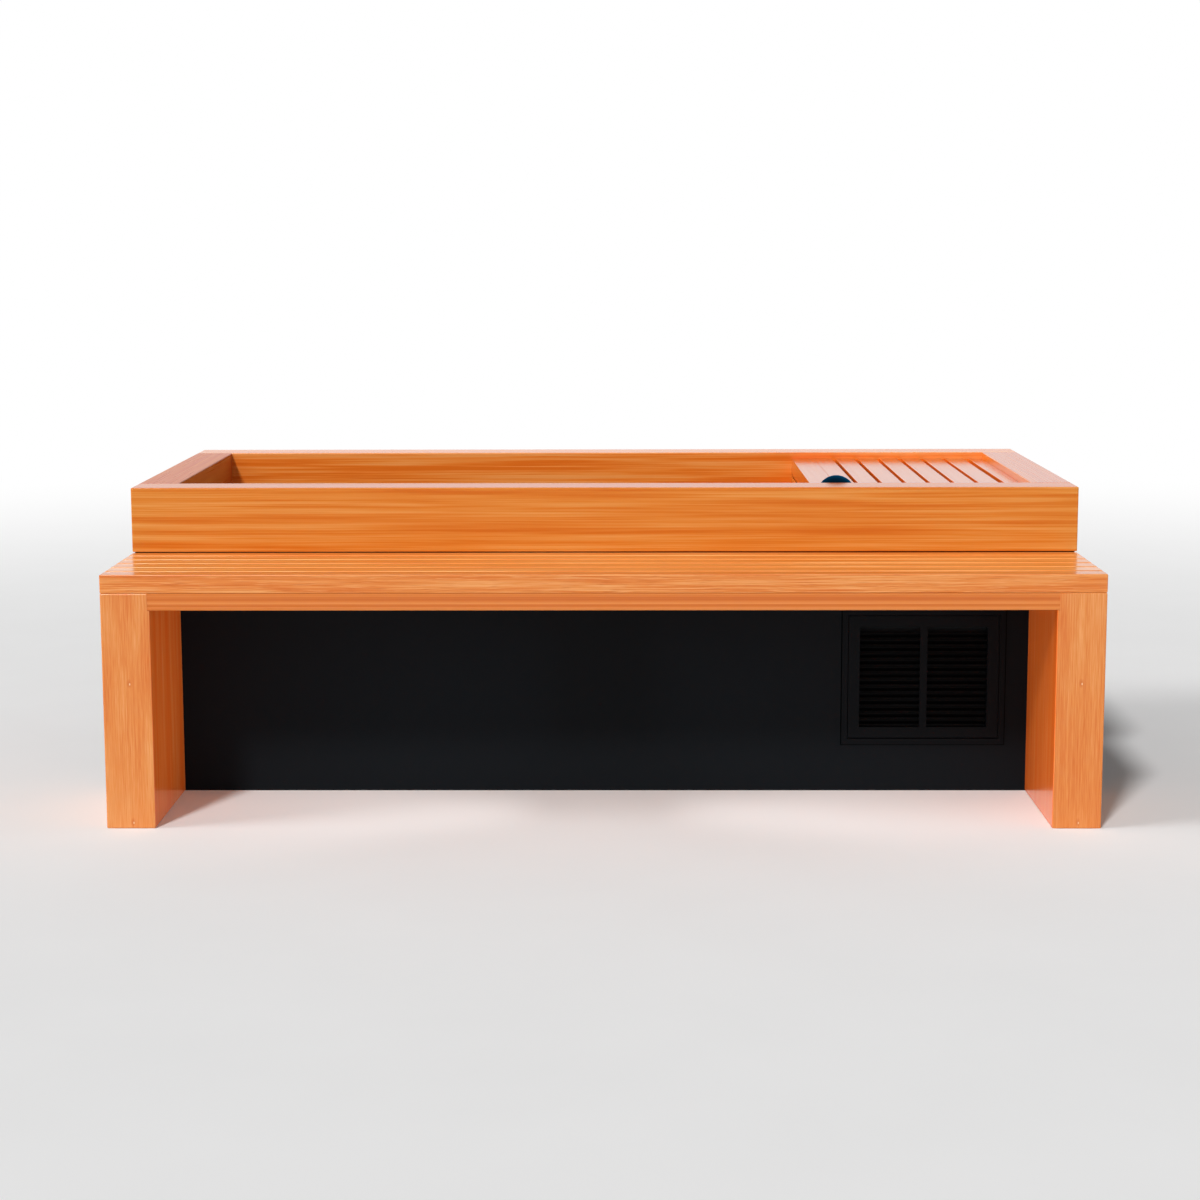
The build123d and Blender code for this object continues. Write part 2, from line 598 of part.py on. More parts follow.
DOOR_FACE = SKIRT_FRONT - GRILLE_FLANGE
DOOR_BACK = DOOR_FACE + DOOR_DEPTH
LOUVRE_X = (DOOR_X[0] + DOOR_RAIL, DOOR_X[1] - DOOR_RAIL)
LOUVRE_Z = (DOOR_Z[0] + DOOR_RAIL, DOOR_Z[1] - DOOR_RAIL)
HINGE_Y = DOOR_FACE + HINGE_PIN_INSET
HINGE_Z = DOOR_Z[0] + HINGE_PIN_INSET

# Skirt: long front and back panels, end panels between them
SKIRT_Z = (0, COLLAR_BASE - SKIRT_TOP_GAP)
BOLT_SPOTS = [(x, z) for x in (-(FRAME_X - TUBE / 2), FRAME_X - TUBE / 2) for z in BOLT_HEIGHTS]
BOLT_SPOTS += [(x, BENCH_HEIGHT - SEAT_BOARD_THICKNESS - APRON_HEIGHT / 2)
               for x in (-POST_INNER_X, POST_INNER_X)]
DRAIN_RUN_X = INSULATION_X + DRAIN_RUN_GAP
DRAIN_SPIGOT_END = SKIRT_BACK - DRAIN_SPIGOT_RECESS

with BuildPart() as skirt_front:
    block((-SKIRT_X, SKIRT_X), (SKIRT_FRONT, FRAME_FRONT), SKIRT_Z)
    block((SLEEVE_X[0] - GRILLE_CUT_CLEARANCE, SLEEVE_X[1] + GRILLE_CUT_CLEARANCE),
          (SKIRT_FRONT, FRAME_FRONT),
          (SLEEVE_Z[0] - GRILLE_CUT_CLEARANCE, SLEEVE_Z[1] + GRILLE_CUT_CLEARANCE), Mode.SUBTRACT)
    for x, z in BOLT_SPOTS:
        with Locations(Plane(origin=(x, SKIRT_FRONT, z), z_dir=(0, -1, 0))):
            Hole(BOLT_RADIUS + BOLT_CLEARANCE)
save(skirt_front, "skirt_front")

with BuildPart() as skirt_back:
    block((-SKIRT_X, SKIRT_X), (FRAME_BACK, SKIRT_BACK), SKIRT_Z)
    with Locations(Plane(origin=(DRAIN_RUN_X, SKIRT_BACK, DRAIN_PIPE_Z), z_dir=(0, 1, 0))):
        Hole(DRAIN_ACCESS_RADIUS)
    with Locations(Plane(origin=(INLET_X, SKIRT_BACK, INLET_Z), z_dir=(0, 1, 0))):
        Hole(INLET_BODY_RADIUS + BOLT_CLEARANCE)
save(skirt_back, "skirt_back")

for name, thickness in (("skirt_left", (-SKIRT_X, -FRAME_X)), ("skirt_right", (FRAME_X, SKIRT_X))):
    with BuildPart() as skirt_end:
        block(thickness, (FRAME_FRONT, FRAME_BACK), SKIRT_Z)
    save(skirt_end, name)

# Frame: square tubes, long rails at the base and top with crossbars between, and posts
POST_X = (-(FRAME_X - TUBE / 2), -POST_INNER_X, POST_INNER_X, FRAME_X - TUBE / 2)
POST_Y = (FRAME_FRONT + TUBE / 2, FRAME_BACK - TUBE / 2)
TUBE_BORE = TUBE - 2 * TUBE_WALL
TOP_CROSSBAR_X = (-(FRAME_X - TUBE / 2), INSULATION_X + TUBE / 2, FRAME_X - TUBE / 2)
END_CROSSBAR_X = FRAME_X - TUBE / 2
RAIL_SPOTS = [(y, z) for y in POST_Y for z in (TUBE / 2, TOP_RAIL_BASE + TUBE / 2)]
BASE_CROSSBAR_X = [DECK_X + setback for setback in BASE_CROSSBAR_SETBACKS]
CROSSBAR_SPOTS = [(x, TUBE / 2) for x in (-END_CROSSBAR_X, *BASE_CROSSBAR_X, END_CROSSBAR_X)]
CROSSBAR_SPOTS += [(x, TOP_RAIL_BASE + TUBE / 2) for x in TOP_CROSSBAR_X]

with BuildPart() as frame_long_rails:
    with BuildSketch(Plane.YZ.offset(-FRAME_X)):
        with Locations(*RAIL_SPOTS):
            Rectangle(TUBE, TUBE)
            Rectangle(TUBE_BORE, TUBE_BORE, mode=Mode.SUBTRACT)
    extrude(amount=2 * FRAME_X)
save(frame_long_rails, "frame_long_rails")

with BuildPart() as frame_crossbars:
    with BuildSketch(Plane.XZ.offset(-(FRAME_FRONT + TUBE))):
        with Locations(*CROSSBAR_SPOTS):
            Rectangle(TUBE, TUBE)
            Rectangle(TUBE_BORE, TUBE_BORE, mode=Mode.SUBTRACT)
    extrude(amount=-(FRAME_BACK - FRAME_FRONT - 2 * TUBE))
save(frame_crossbars, "frame_crossbars")

with BuildPart() as frame_posts:
    with BuildSketch(Plane.XY.offset(TUBE)):
        with Locations(*[(x, y) for x in POST_X for y in POST_Y]):
            Rectangle(TUBE, TUBE)
            Rectangle(TUBE_BORE, TUBE_BORE, mode=Mode.SUBTRACT)
    extrude(amount=TOP_RAIL_BASE - TUBE)
    for x, z in BOLT_SPOTS:
        rod_y(x, (FRAME_FRONT, FRAME_FRONT + TUBE), z, BOLT_RADIUS + BOLT_CLEARANCE, Mode.SUBTRACT)
save(frame_posts, "frame_posts")

# Grille frame: a flange on the skirt and a sleeve through it, with a lip behind the filter pad
with BuildPart() as grille_frame:
    block(GRILLE_X, (DOOR_FACE, SKIRT_FRONT), GRILLE_Z)
    block(SLEEVE_X, (SKIRT_FRONT, SLEEVE_BACK), SLEEVE_Z)
    block(FRAME_OPENING_X, (DOOR_FACE, SLEEVE_BACK - GRILLE_FLANGE), FRAME_OPENING_Z, Mode.SUBTRACT)
    block((FRAME_OPENING_X[0] + PAD_LIP, FRAME_OPENING_X[1] - PAD_LIP), (DOOR_FACE, SLEEVE_BACK),
          (FRAME_OPENING_Z[0] + PAD_LIP, FRAME_OPENING_Z[1] - PAD_LIP), Mode.SUBTRACT)
    rod_x(SLEEVE_X, HINGE_Y, HINGE_Z, HINGE_PIN_RADIUS, Mode.SUBTRACT)
save(grille_frame, "grille_frame")

# Grille door: a frame with a centre mullion, rounded at the hinge corner
with BuildPart() as grille_door:
    block(DOOR_X, (DOOR_FACE, DOOR_BACK), DOOR_Z)
    block(LOUVRE_X, (DOOR_FACE, DOOR_BACK), LOUVRE_Z, Mode.SUBTRACT)
    hinge_edge = grille_door.edges().filter_by(Axis.X).sort_by(Axis.Z)[:2].sort_by(Axis.Y)[0]
    fillet(hinge_edge, DOOR_ROUND)
    mullion_middle = sum(LOUVRE_X) / 2
    mullion = (mullion_middle - MULLION_WIDTH / 2, mullion_middle + MULLION_WIDTH / 2)
    block(mullion, (DOOR_FACE, DOOR_FACE + MULLION_DEPTH), LOUVRE_Z)
    for side in ((DOOR_X[0], DOOR_X[0] + HINGE_PIN_LENGTH), (DOOR_X[1] - HINGE_PIN_LENGTH, DOOR_X[1])):
        rod_x(side, HINGE_Y, HINGE_Z, HINGE_PIN_RADIUS + HINGE_PIN_CLEARANCE, Mode.SUBTRACT)
save(grille_door, "grille_door")

# Louvre blades: a front edge and a web that slopes down towards the back
BLADE_Y = (DOOR_FACE + MULLION_DEPTH, DOOR_BACK)
BLADE_PITCH = (LOUVRE_Z[1] - LOUVRE_Z[0]) / (BLADE_COUNT + 1)
BLADE_DROP = (BLADE_Y[1] - BLADE_Y[0]) * math.tan(math.radians(BLADE_ANGLE))
BLADE_SLOPE_THICKNESS = BLADE_THICKNESS / math.cos(math.radians(BLADE_ANGLE))

with BuildPart() as louvre_blades:
    for index in range(1, BLADE_COUNT + 1):
        top = LOUVRE_Z[0] + index * BLADE_PITCH + BLADE_EDGE / 2
        with BuildSketch(Plane.YZ.offset(LOUVRE_X[0])):
            with BuildLine():
                Polyline((BLADE_Y[0], top), (BLADE_Y[1], top - BLADE_DROP),
                         (BLADE_Y[1], top - BLADE_DROP - BLADE_SLOPE_THICKNESS),
                         (BLADE_Y[0] + BLADE_THICKNESS, top - BLADE_SLOPE_THICKNESS
                          - BLADE_THICKNESS * math.tan(math.radians(BLADE_ANGLE))),
                         (BLADE_Y[0] + BLADE_THICKNESS, top - BLADE_EDGE), (BLADE_Y[0], top - BLADE_EDGE),
                         close=True)
            make_face()
        extrude(amount=LOUVRE_X[1] - LOUVRE_X[0])
save(louvre_blades, "louvre_blades")

with BuildPart() as hinge_pins:
    rod_x((SLEEVE_X[0], SLEEVE_X[0] + HINGE_PIN_LENGTH), HINGE_Y, HINGE_Z, HINGE_PIN_RADIUS)
    rod_x((SLEEVE_X[1] - HINGE_PIN_LENGTH, SLEEVE_X[1]), HINGE_Y, HINGE_Z, HINGE_PIN_RADIUS)
save(hinge_pins, "hinge_pins")

# Magnetic catches under the sleeve's top, which the door closes against
CATCH_Y = (DOOR_BACK + CATCH_GAP, DOOR_BACK + CATCH_GAP + CATCH_SIZE[1])

with BuildPart() as door_catches:
    for middle in (FRAME_OPENING_X[0] + CATCH_INSET, FRAME_OPENING_X[1] - CATCH_INSET):
        block((middle - CATCH_SIZE[0] / 2, middle + CATCH_SIZE[0] / 2), CATCH_Y,
              (FRAME_OPENING_Z[1] - CATCH_SIZE[2], FRAME_OPENING_Z[1]))
save(door_catches, "door_catches")

# Air filter pad against the lip at the back of the sleeve
PAD_BACK = SLEEVE_BACK - GRILLE_FLANGE

with BuildPart() as filter_pad:
    block((FRAME_OPENING_X[0] + PAD_CLEARANCE, FRAME_OPENING_X[1] - PAD_CLEARANCE),
          (PAD_BACK - PAD_THICKNESS, PAD_BACK),
          (FRAME_OPENING_Z[0], FRAME_OPENING_Z[1] - PAD_CLEARANCE))
save(filter_pad, "filter_pad")

# Fittings in the basin: a perforated suction cover, a return eye and a floor drain
NECK_END = INSULATION_X + FITTING_TAIL

with BuildPart() as suction_fitting:
    rod_x((DECK_X - SUCTION_COVER_DEPTH, DECK_X), SUCTION_Y, SUCTION_Z, SUCTION_COVER_RADIUS)
    rod_x((DECK_X - SUCTION_COVER_DEPTH + SUCTION_COVER_WALL, DECK_X), SUCTION_Y, SUCTION_Z,
          SUCTION_COVER_RADIUS - SUCTION_COVER_WALL, Mode.SUBTRACT)
    rod_x((DECK_X - SUCTION_COVER_DEPTH, NECK_END), SUCTION_Y, SUCTION_Z, FITTING_NECK_RADIUS)
    rod_x((DECK_X - SUCTION_COVER_DEPTH + SUCTION_COVER_WALL, NECK_END), SUCTION_Y, SUCTION_Z, PIPE_BORE,
          Mode.SUBTRACT)
    with Locations(Plane(origin=(DECK_X - SUCTION_COVER_DEPTH, SUCTION_Y, SUCTION_Z), z_dir=(-1, 0, 0))):
        for ring in SUCTION_RINGS:
            with PolarLocations(ring, SUCTION_HOLE_COUNT):
                Hole(SUCTION_HOLE_RADIUS, SUCTION_COVER_WALL)
save(suction_fitting, "suction_fitting")

with BuildPart() as return_fitting:
    rod_x((DECK_X - RETURN_FLANGE_DEPTH, DECK_X), RETURN_Y, RETURN_Z, RETURN_FLANGE_RADIUS)
    rod_x((DECK_X, NECK_END), RETURN_Y, RETURN_Z, FITTING_NECK_RADIUS)
    fillet(return_fitting.edges().group_by(Axis.X)[0], EDGE_ROUND)
    rod_x((DECK_X - RETURN_FLANGE_DEPTH, NECK_END), RETURN_Y, RETURN_Z, PIPE_BORE, Mode.SUBTRACT)
save(return_fitting, "return_fitting")

DRAIN_BODY_BASE = DRAIN_PIPE_Z - DRAIN_BODY_RADIUS

with BuildPart() as drain_fitting:
    rod_z(DRAIN_X, DRAIN_Y, (BASIN_FLOOR, BASIN_FLOOR + DRAIN_FLANGE_DEPTH), DRAIN_FLANGE_RADIUS)
    rod_z(DRAIN_X, DRAIN_Y, (DRAIN_BODY_BASE, BASIN_FLOOR), DRAIN_BODY_RADIUS)
    rod_z(DRAIN_X, DRAIN_Y, (DRAIN_PIPE_Z - PIPE_BORE, BASIN_FLOOR + DRAIN_FLANGE_DEPTH), PIPE_BORE,
          Mode.SUBTRACT)
    rod_x((DRAIN_X, DRAIN_X + DRAIN_BODY_RADIUS), DRAIN_Y, DRAIN_PIPE_Z, PIPE_BORE, Mode.SUBTRACT)
save(drain_fitting, "drain_fitting")

# Equipment tray on the base frame, with a lip all round
TRAY_Y = (FRAME_FRONT + TUBE - TRAY_LAP, FRAME_BACK - TUBE + TRAY_LAP)
TRAY_TOP = TUBE + TRAY_SHEET
TRAY_X = [INSULATION_X + setback for setback in TRAY_SETBACKS]

with BuildPart() as equipment_tray:
    block(TRAY_X, TRAY_Y, (TUBE, TRAY_TOP + TRAY_LIP))
    block((TRAY_X[0] + TRAY_SHEET, TRAY_X[1] - TRAY_SHEET), (TRAY_Y[0] + TRAY_SHEET, TRAY_Y[1] - TRAY_SHEET),
          (TRAY_TOP, TRAY_TOP + TRAY_LIP), Mode.SUBTRACT)
save(equipment_tray, "equipment_tray")

# Condenser coil behind the grille: fins and end plates on one serpentine tube
GRILLE_CENTRE = (sum(GRILLE_X) / 2, sum(GRILLE_Z) / 2)
COIL_X = (GRILLE_CENTRE[0] - COIL_LENGTH / 2, GRILLE_CENTRE[0] + COIL_LENGTH / 2)
COIL_Y = (SLEEVE_BACK + COIL_GAP, SLEEVE_BACK + COIL_GAP + COIL_DEPTH)
COIL_Z = (GRILLE_CENTRE[1] - COIL_HEIGHT / 2, GRILLE_CENTRE[1] + COIL_HEIGHT / 2)
COIL_MIDDLE_Y = sum(COIL_Y) / 2
COIL_TOP = COIL_Z[1] + COIL_PLATE_MARGIN
TUBE_ROWS = [GRILLE_CENTRE[1] + COIL_TUBE_PITCH * ((COIL_TUBE_COUNT - 1) / 2 - row)
             for row in range(COIL_TUBE_COUNT)]
STUB_X = COIL_X[1] + COIL_STUB
TURN_X = (COIL_X[1] + COIL_TURN, COIL_X[0] - COIL_TURN)
COIL_RUN = [(STUB_X, COIL_MIDDLE_Y, TUBE_ROWS[0])]
for row in range(COIL_TUBE_COUNT - 1):
    turn = TURN_X[(row + 1) % 2]
    COIL_RUN += [(turn, COIL_MIDDLE_Y, TUBE_ROWS[row]), (turn, COIL_MIDDLE_Y, TUBE_ROWS[row + 1])]
COIL_RUN += [(STUB_X, COIL_MIDDLE_Y, TUBE_ROWS[-1])]
FIN_PITCH = (COIL_LENGTH - COIL_PLATE) / (FIN_COUNT + 1)
coil_tube = tube(COIL_RUN, COPPER_RADIUS, COPPER_WALL, COIL_TURN_RADIUS)

with BuildPart() as condenser_coil:
    with Locations((GRILLE_CENTRE[0], COIL_MIDDLE_Y, (TRAY_TOP + COIL_TOP) / 2)):
        with GridLocations(COIL_LENGTH - COIL_PLATE, 0, 2, 1):
            Box(COIL_PLATE, COIL_DEPTH, COIL_TOP - TRAY_TOP)
    with Locations((GRILLE_CENTRE[0], COIL_MIDDLE_Y, GRILLE_CENTRE[1])):
        with GridLocations(FIN_PITCH, 0, FIN_COUNT, 1):
            Box(FIN_THICKNESS, COIL_DEPTH, COIL_HEIGHT)
    for z in TUBE_ROWS:
        rod_x((COIL_X[0], COIL_X[1]), COIL_MIDDLE_Y, z, COPPER_RADIUS, Mode.SUBTRACT)
    add(coil_tube)
save(condenser_coil, "condenser_coil")

# Fan shroud: a shallow box open to the coil, with a round throat at its back
SHROUD_X = (GRILLE_CENTRE[0] - SHROUD_WIDTH / 2, GRILLE_CENTRE[0] + SHROUD_WIDTH / 2)
SHROUD_Y = (COIL_Y[1] + SHROUD_GAP, COIL_Y[1] + SHROUD_GAP + SHROUD_DEPTH)
THROAT_RADIUS = FAN_RADIUS + FAN_TIP_CLEARANCE
THROAT_END = SHROUD_Y[1] + FAN_RING_DEPTH

with BuildPart() as fan_shroud:
    block(SHROUD_X, SHROUD_Y, (TRAY_TOP, COIL_TOP))
    block((SHROUD_X[0] + SHROUD_WALL, SHROUD_X[1] - SHROUD_WALL), (SHROUD_Y[0], SHROUD_Y[1] - SHROUD_WALL),
          (TRAY_TOP + SHROUD_WALL, COIL_TOP - SHROUD_WALL), Mode.SUBTRACT)
    rod_y(GRILLE_CENTRE[0], (SHROUD_Y[1] - SHROUD_WALL, THROAT_END), GRILLE_CENTRE[1],
          THROAT_RADIUS + SHROUD_WALL)
    rod_y(GRILLE_CENTRE[0], (SHROUD_Y[0], THROAT_END), GRILLE_CENTRE[1], THROAT_RADIUS, Mode.SUBTRACT)
save(fan_shroud, "fan_shroud")

# Fan motor on arms across the throat, and the rotor on its shaft
FAN_Y = (THROAT_END - MOTOR_GAP - FAN_HUB_LENGTH, THROAT_END - MOTOR_GAP)
SHAFT_TIP = THROAT_END - MOTOR_SHAFT_LENGTH

with BuildPart() as fan_motor:
    with Locations(Plane(origin=(GRILLE_CENTRE[0], THROAT_END + MOTOR_ARM_THICKNESS / 2, GRILLE_CENTRE[1]),
                         z_dir=(0, -1, 0))):
        with PolarLocations((THROAT_RADIUS + SHROUD_WALL) / 2, MOTOR_ARM_COUNT, start_angle=45):
            Box(THROAT_RADIUS + SHROUD_WALL, MOTOR_ARM_WIDTH, MOTOR_ARM_THICKNESS)
    rod_y(GRILLE_CENTRE[0], (THROAT_END, THROAT_END + MOTOR_LENGTH), GRILLE_CENTRE[1], MOTOR_RADIUS)
    fillet(fan_motor.edges().group_by(Axis.Y)[-1], EDGE_ROUND)
    rod_y(GRILLE_CENTRE[0], (SHAFT_TIP, THROAT_END), GRILLE_CENTRE[1], MOTOR_SHAFT_RADIUS)
save(fan_motor, "fan_motor")

with BuildPart() as fan_rotor:
    with Locations(Plane(origin=(GRILLE_CENTRE[0], sum(FAN_Y) / 2, GRILLE_CENTRE[1]), z_dir=(0, -1, 0))):
        with PolarLocations(FAN_RADIUS / 2, FAN_BLADE_COUNT):
            with Locations(Rotation(FAN_BLADE_ANGLE, 0, 0)):
                Box(FAN_RADIUS, FAN_BLADE_CHORD, FAN_BLADE_THICKNESS)
    rod_y(GRILLE_CENTRE[0], FAN_Y, GRILLE_CENTRE[1], FAN_RADIUS, Mode.INTERSECT)
    rod_y(GRILLE_CENTRE[0], FAN_Y, GRILLE_CENTRE[1], FAN_HUB_RADIUS)
    fillet(fan_rotor.faces().filter_by(GeomType.PLANE).sort_by(Axis.Y)[0].edges(), EDGE_ROUND)
    rod_y(GRILLE_CENTRE[0], (SHAFT_TIP - LID_CLEARANCE, FAN_Y[1]), GRILLE_CENTRE[1],
          MOTOR_SHAFT_RADIUS + MOTOR_SHAFT_CLEARANCE, Mode.SUBTRACT)
save(fan_rotor, "fan_rotor")

# Compressor on three feet, with a discharge and a vapour boss
COMPRESSOR_BASE = TRAY_TOP + COMPRESSOR_FOOT_HEIGHT

with BuildPart() as compressor:
    rod_z(COMPRESSOR_X, CHILLER_Y, (COMPRESSOR_BASE, COMPRESSOR_BASE + COMPRESSOR_HEIGHT), COMPRESSOR_RADIUS)
    fillet(compressor.edges().group_by(Axis.Z)[-1], COMPRESSOR_CROWN)
    with Locations((COMPRESSOR_X, CHILLER_Y, COMPRESSOR_BASE + COMPRESSOR_PLATE / 2)):
        Box(2 * COMPRESSOR_RADIUS, 2 * COMPRESSOR_RADIUS, COMPRESSOR_PLATE)
    with Locations((COMPRESSOR_X, CHILLER_Y, TRAY_TOP + COMPRESSOR_FOOT_HEIGHT / 2)):
        with GridLocations(2 * (COMPRESSOR_RADIUS - COMPRESSOR_FOOT_RADIUS),
                           2 * (COMPRESSOR_RADIUS - COMPRESSOR_FOOT_RADIUS), 2, 2):
            Cylinder(COMPRESSOR_FOOT_RADIUS, COMPRESSOR_FOOT_HEIGHT)
    for z in (DISCHARGE_Z, VAPOUR_Z):
        rod_x((COMPRESSOR_X, COMPRESSOR_X + COMPRESSOR_RADIUS + BOSS_LENGTH), CHILLER_Y, z,
              COPPER_BOSS_RADIUS)
save(compressor, "compressor")

# Heat exchanger: an insulated upright column with water and refrigerant bosses
EXCHANGER_TOP = TRAY_TOP + EXCHANGER_HEIGHT
EXCHANGER_REACH = EXCHANGER_RADIUS + BOSS_LENGTH
LIQUID_Z = TUBE_ROWS[-1]
OVERHEAD_Z = COIL_TOP + PIPE_RADIUS + OVERHEAD_CLEARANCE

with BuildPart() as heat_exchanger:
    rod_z(COLUMN_X, CHILLER_Y, (TRAY_TOP, EXCHANGER_TOP), EXCHANGER_RADIUS)
    fillet(heat_exchanger.edges().group_by(Axis.Z)[-1], EXCHANGER_CROWN)
    rod_x((COLUMN_X - EXCHANGER_REACH, COLUMN_X), CHILLER_Y, OVERHEAD_Z, BOSS_RADIUS)
    rod_x((COLUMN_X - EXCHANGER_REACH, COLUMN_X), CHILLER_Y, VAPOUR_Z, COPPER_BOSS_RADIUS)
    rod_y(COLUMN_X, (CHILLER_Y, CHILLER_Y + EXCHANGER_REACH), FILTER_OUTLET_Z, BOSS_RADIUS)
    rod_y(COLUMN_X, (CHILLER_Y - EXCHANGER_REACH, CHILLER_Y), LIQUID_Z, COPPER_BOSS_RADIUS)
save(heat_exchanger, "heat_exchanger")

# Refrigerant lines: compressor to coil, coil to exchanger, exchanger back to compressor
COMPRESSOR_PORT_X = COMPRESSOR_X + COMPRESSOR_RADIUS + BOSS_LENGTH
EXCHANGER_PORT_X = COLUMN_X - EXCHANGER_REACH
RISER_X = (COMPRESSOR_PORT_X + EXCHANGER_PORT_X) / 2
DISCHARGE_TURN_X = INSULATION_X + DISCHARGE_TURN_SETBACK
LIQUID_TURN_X = INSULATION_X + LIQUID_TURN_SETBACK
DISCHARGE_Y = CHILLER_Y - DISCHARGE_STEP
COPPER_RUNS = [
    [(COMPRESSOR_PORT_X, CHILLER_Y, DISCHARGE_Z), (RISER_X, CHILLER_Y, DISCHARGE_Z),
     (RISER_X, DISCHARGE_Y, DISCHARGE_Z), (DISCHARGE_TURN_X, DISCHARGE_Y, DISCHARGE_Z),
     (DISCHARGE_TURN_X, DISCHARGE_Y, TUBE_ROWS[0]), (DISCHARGE_TURN_X, COIL_MIDDLE_Y, TUBE_ROWS[0]),
     (STUB_X, COIL_MIDDLE_Y, TUBE_ROWS[0])],
    [(STUB_X, COIL_MIDDLE_Y, LIQUID_Z), (LIQUID_TURN_X, COIL_MIDDLE_Y, LIQUID_Z),
     (LIQUID_TURN_X, CHILLER_Y - LIQUID_STEP, LIQUID_Z), (COLUMN_X, CHILLER_Y - LIQUID_STEP, LIQUID_Z),
     (COLUMN_X, CHILLER_Y - EXCHANGER_REACH, LIQUID_Z)],
    [(COMPRESSOR_PORT_X, CHILLER_Y, VAPOUR_Z), (EXCHANGER_PORT_X, CHILLER_Y, VAPOUR_Z)],
]
copper_tubes = [tube(run, COPPER_RADIUS, COPPER_WALL, COPPER_BEND) for run in COPPER_RUNS]

with BuildPart() as refrigerant_lines:
    add(copper_tubes)
save(refrigerant_lines, "refrigerant_lines")

# Circulation pump: volute, motor and foot, level with the suction fitting
VOLUTE_X = (PUMP_X - PUMP_VOLUTE_LENGTH / 2, PUMP_X + PUMP_VOLUTE_LENGTH / 2)
PUMP_OUTLET_Z = SUCTION_Z + PUMP_VOLUTE_RADIUS + BOSS_LENGTH

with BuildPart() as circulation_pump:
    rod_x(VOLUTE_X, SUCTION_Y, SUCTION_Z, PUMP_VOLUTE_RADIUS)
    rod_x((VOLUTE_X[1], VOLUTE_X[1] + PUMP_MOTOR_LENGTH), SUCTION_Y, SUCTION_Z, PUMP_MOTOR_RADIUS)
    fillet(circulation_pump.edges().filter_by(GeomType.CIRCLE), EDGE_ROUND)
    rod_x((VOLUTE_X[0] - BOSS_LENGTH, PUMP_X), SUCTION_Y, SUCTION_Z, BOSS_RADIUS)
    rod_z(PUMP_X, SUCTION_Y, (SUCTION_Z, PUMP_OUTLET_Z), BOSS_RADIUS)
    block((VOLUTE_X[1], VOLUTE_X[1] + PUMP_MOTOR_LENGTH - BOSS_LENGTH),
          (SUCTION_Y - PUMP_FOOT_WIDTH / 2, SUCTION_Y + PUMP_FOOT_WIDTH / 2),
          (TRAY_TOP, SUCTION_Z - PUMP_MOTOR_RADIUS / 2))
save(circulation_pump, "circulation_pump")

# Filter housing, its pleated cartridge and the lid with its plug and grip bar
FILTER_TOP = FRAME_TOP - FILTER_HEADROOM
FILTER_FLOOR = TRAY_TOP + FILTER_WALL
FILTER_INLET_Z = FILTER_TOP - FILTER_INLET_DEPTH
CARTRIDGE_HEIGHT = FILTER_TOP - FILTER_FLOOR - CARTRIDGE_HEADROOM
FILTER_BORE = FILTER_RADIUS - FILTER_WALL
FILTER_REACH = FILTER_RADIUS + BOSS_LENGTH
NECK_RADIUS = FILTER_RADIUS + FILTER_NECK

with BuildPart() as filter_housing:
    rod_z(COLUMN_X, SUCTION_Y, (TRAY_TOP, FILTER_TOP), FILTER_RADIUS)
    fillet(filter_housing.edges().group_by(Axis.Z)[0], EDGE_ROUND)
    rod_z(COLUMN_X, SUCTION_Y, (FILTER_TOP - FILTER_NECK_HEIGHT, FILTER_TOP), NECK_RADIUS)
    rod_x((COLUMN_X - FILTER_REACH, COLUMN_X), SUCTION_Y, FILTER_INLET_Z, BOSS_RADIUS)
    rod_y(COLUMN_X, (SUCTION_Y - FILTER_REACH, SUCTION_Y), FILTER_OUTLET_Z, BOSS_RADIUS)
    rod_z(COLUMN_X, SUCTION_Y, (FILTER_FLOOR, FILTER_TOP), FILTER_BORE, Mode.SUBTRACT)
    rod_x((COLUMN_X - FILTER_REACH, COLUMN_X), SUCTION_Y, FILTER_INLET_Z, PIPE_BORE, Mode.SUBTRACT)
    rod_y(COLUMN_X, (SUCTION_Y - FILTER_REACH, SUCTION_Y), FILTER_OUTLET_Z, PIPE_BORE, Mode.SUBTRACT)
save(filter_housing, "filter_housing")

PLEAT_STEP = math.pi / CARTRIDGE_PLEATS
PLEAT_FOOT_RADIUS = CARTRIDGE_RADIUS - CARTRIDGE_PLEAT_DEPTH
PLEAT_POINTS = [(radius * math.cos(angle), radius * math.sin(angle))
                for index in range(CARTRIDGE_PLEATS)
                for radius, angle in ((CARTRIDGE_RADIUS, 2 * index * PLEAT_STEP),
                                      (PLEAT_FOOT_RADIUS, (2 * index + 1) * PLEAT_STEP))]

with BuildPart() as filter_cartridge:
    with BuildSketch(Plane.XY.offset(FILTER_FLOOR)):
        with Locations((COLUMN_X, SUCTION_Y)):
            Polygon(*PLEAT_POINTS, align=None)
    extrude(amount=CARTRIDGE_HEIGHT)
    for base in (FILTER_FLOOR, FILTER_FLOOR + CARTRIDGE_HEIGHT - CARTRIDGE_CAP):
        rod_z(COLUMN_X, SUCTION_Y, (base, base + CARTRIDGE_CAP), CARTRIDGE_RADIUS)
    rod_z(COLUMN_X, SUCTION_Y, (FILTER_FLOOR, FILTER_FLOOR + CARTRIDGE_HEIGHT), CARTRIDGE_CORE, Mode.SUBTRACT)
save(filter_cartridge, "filter_cartridge")

LID_BASE = FILTER_TOP + LID_CLEARANCE
LID_TOP = LID_BASE + LID_HEIGHT

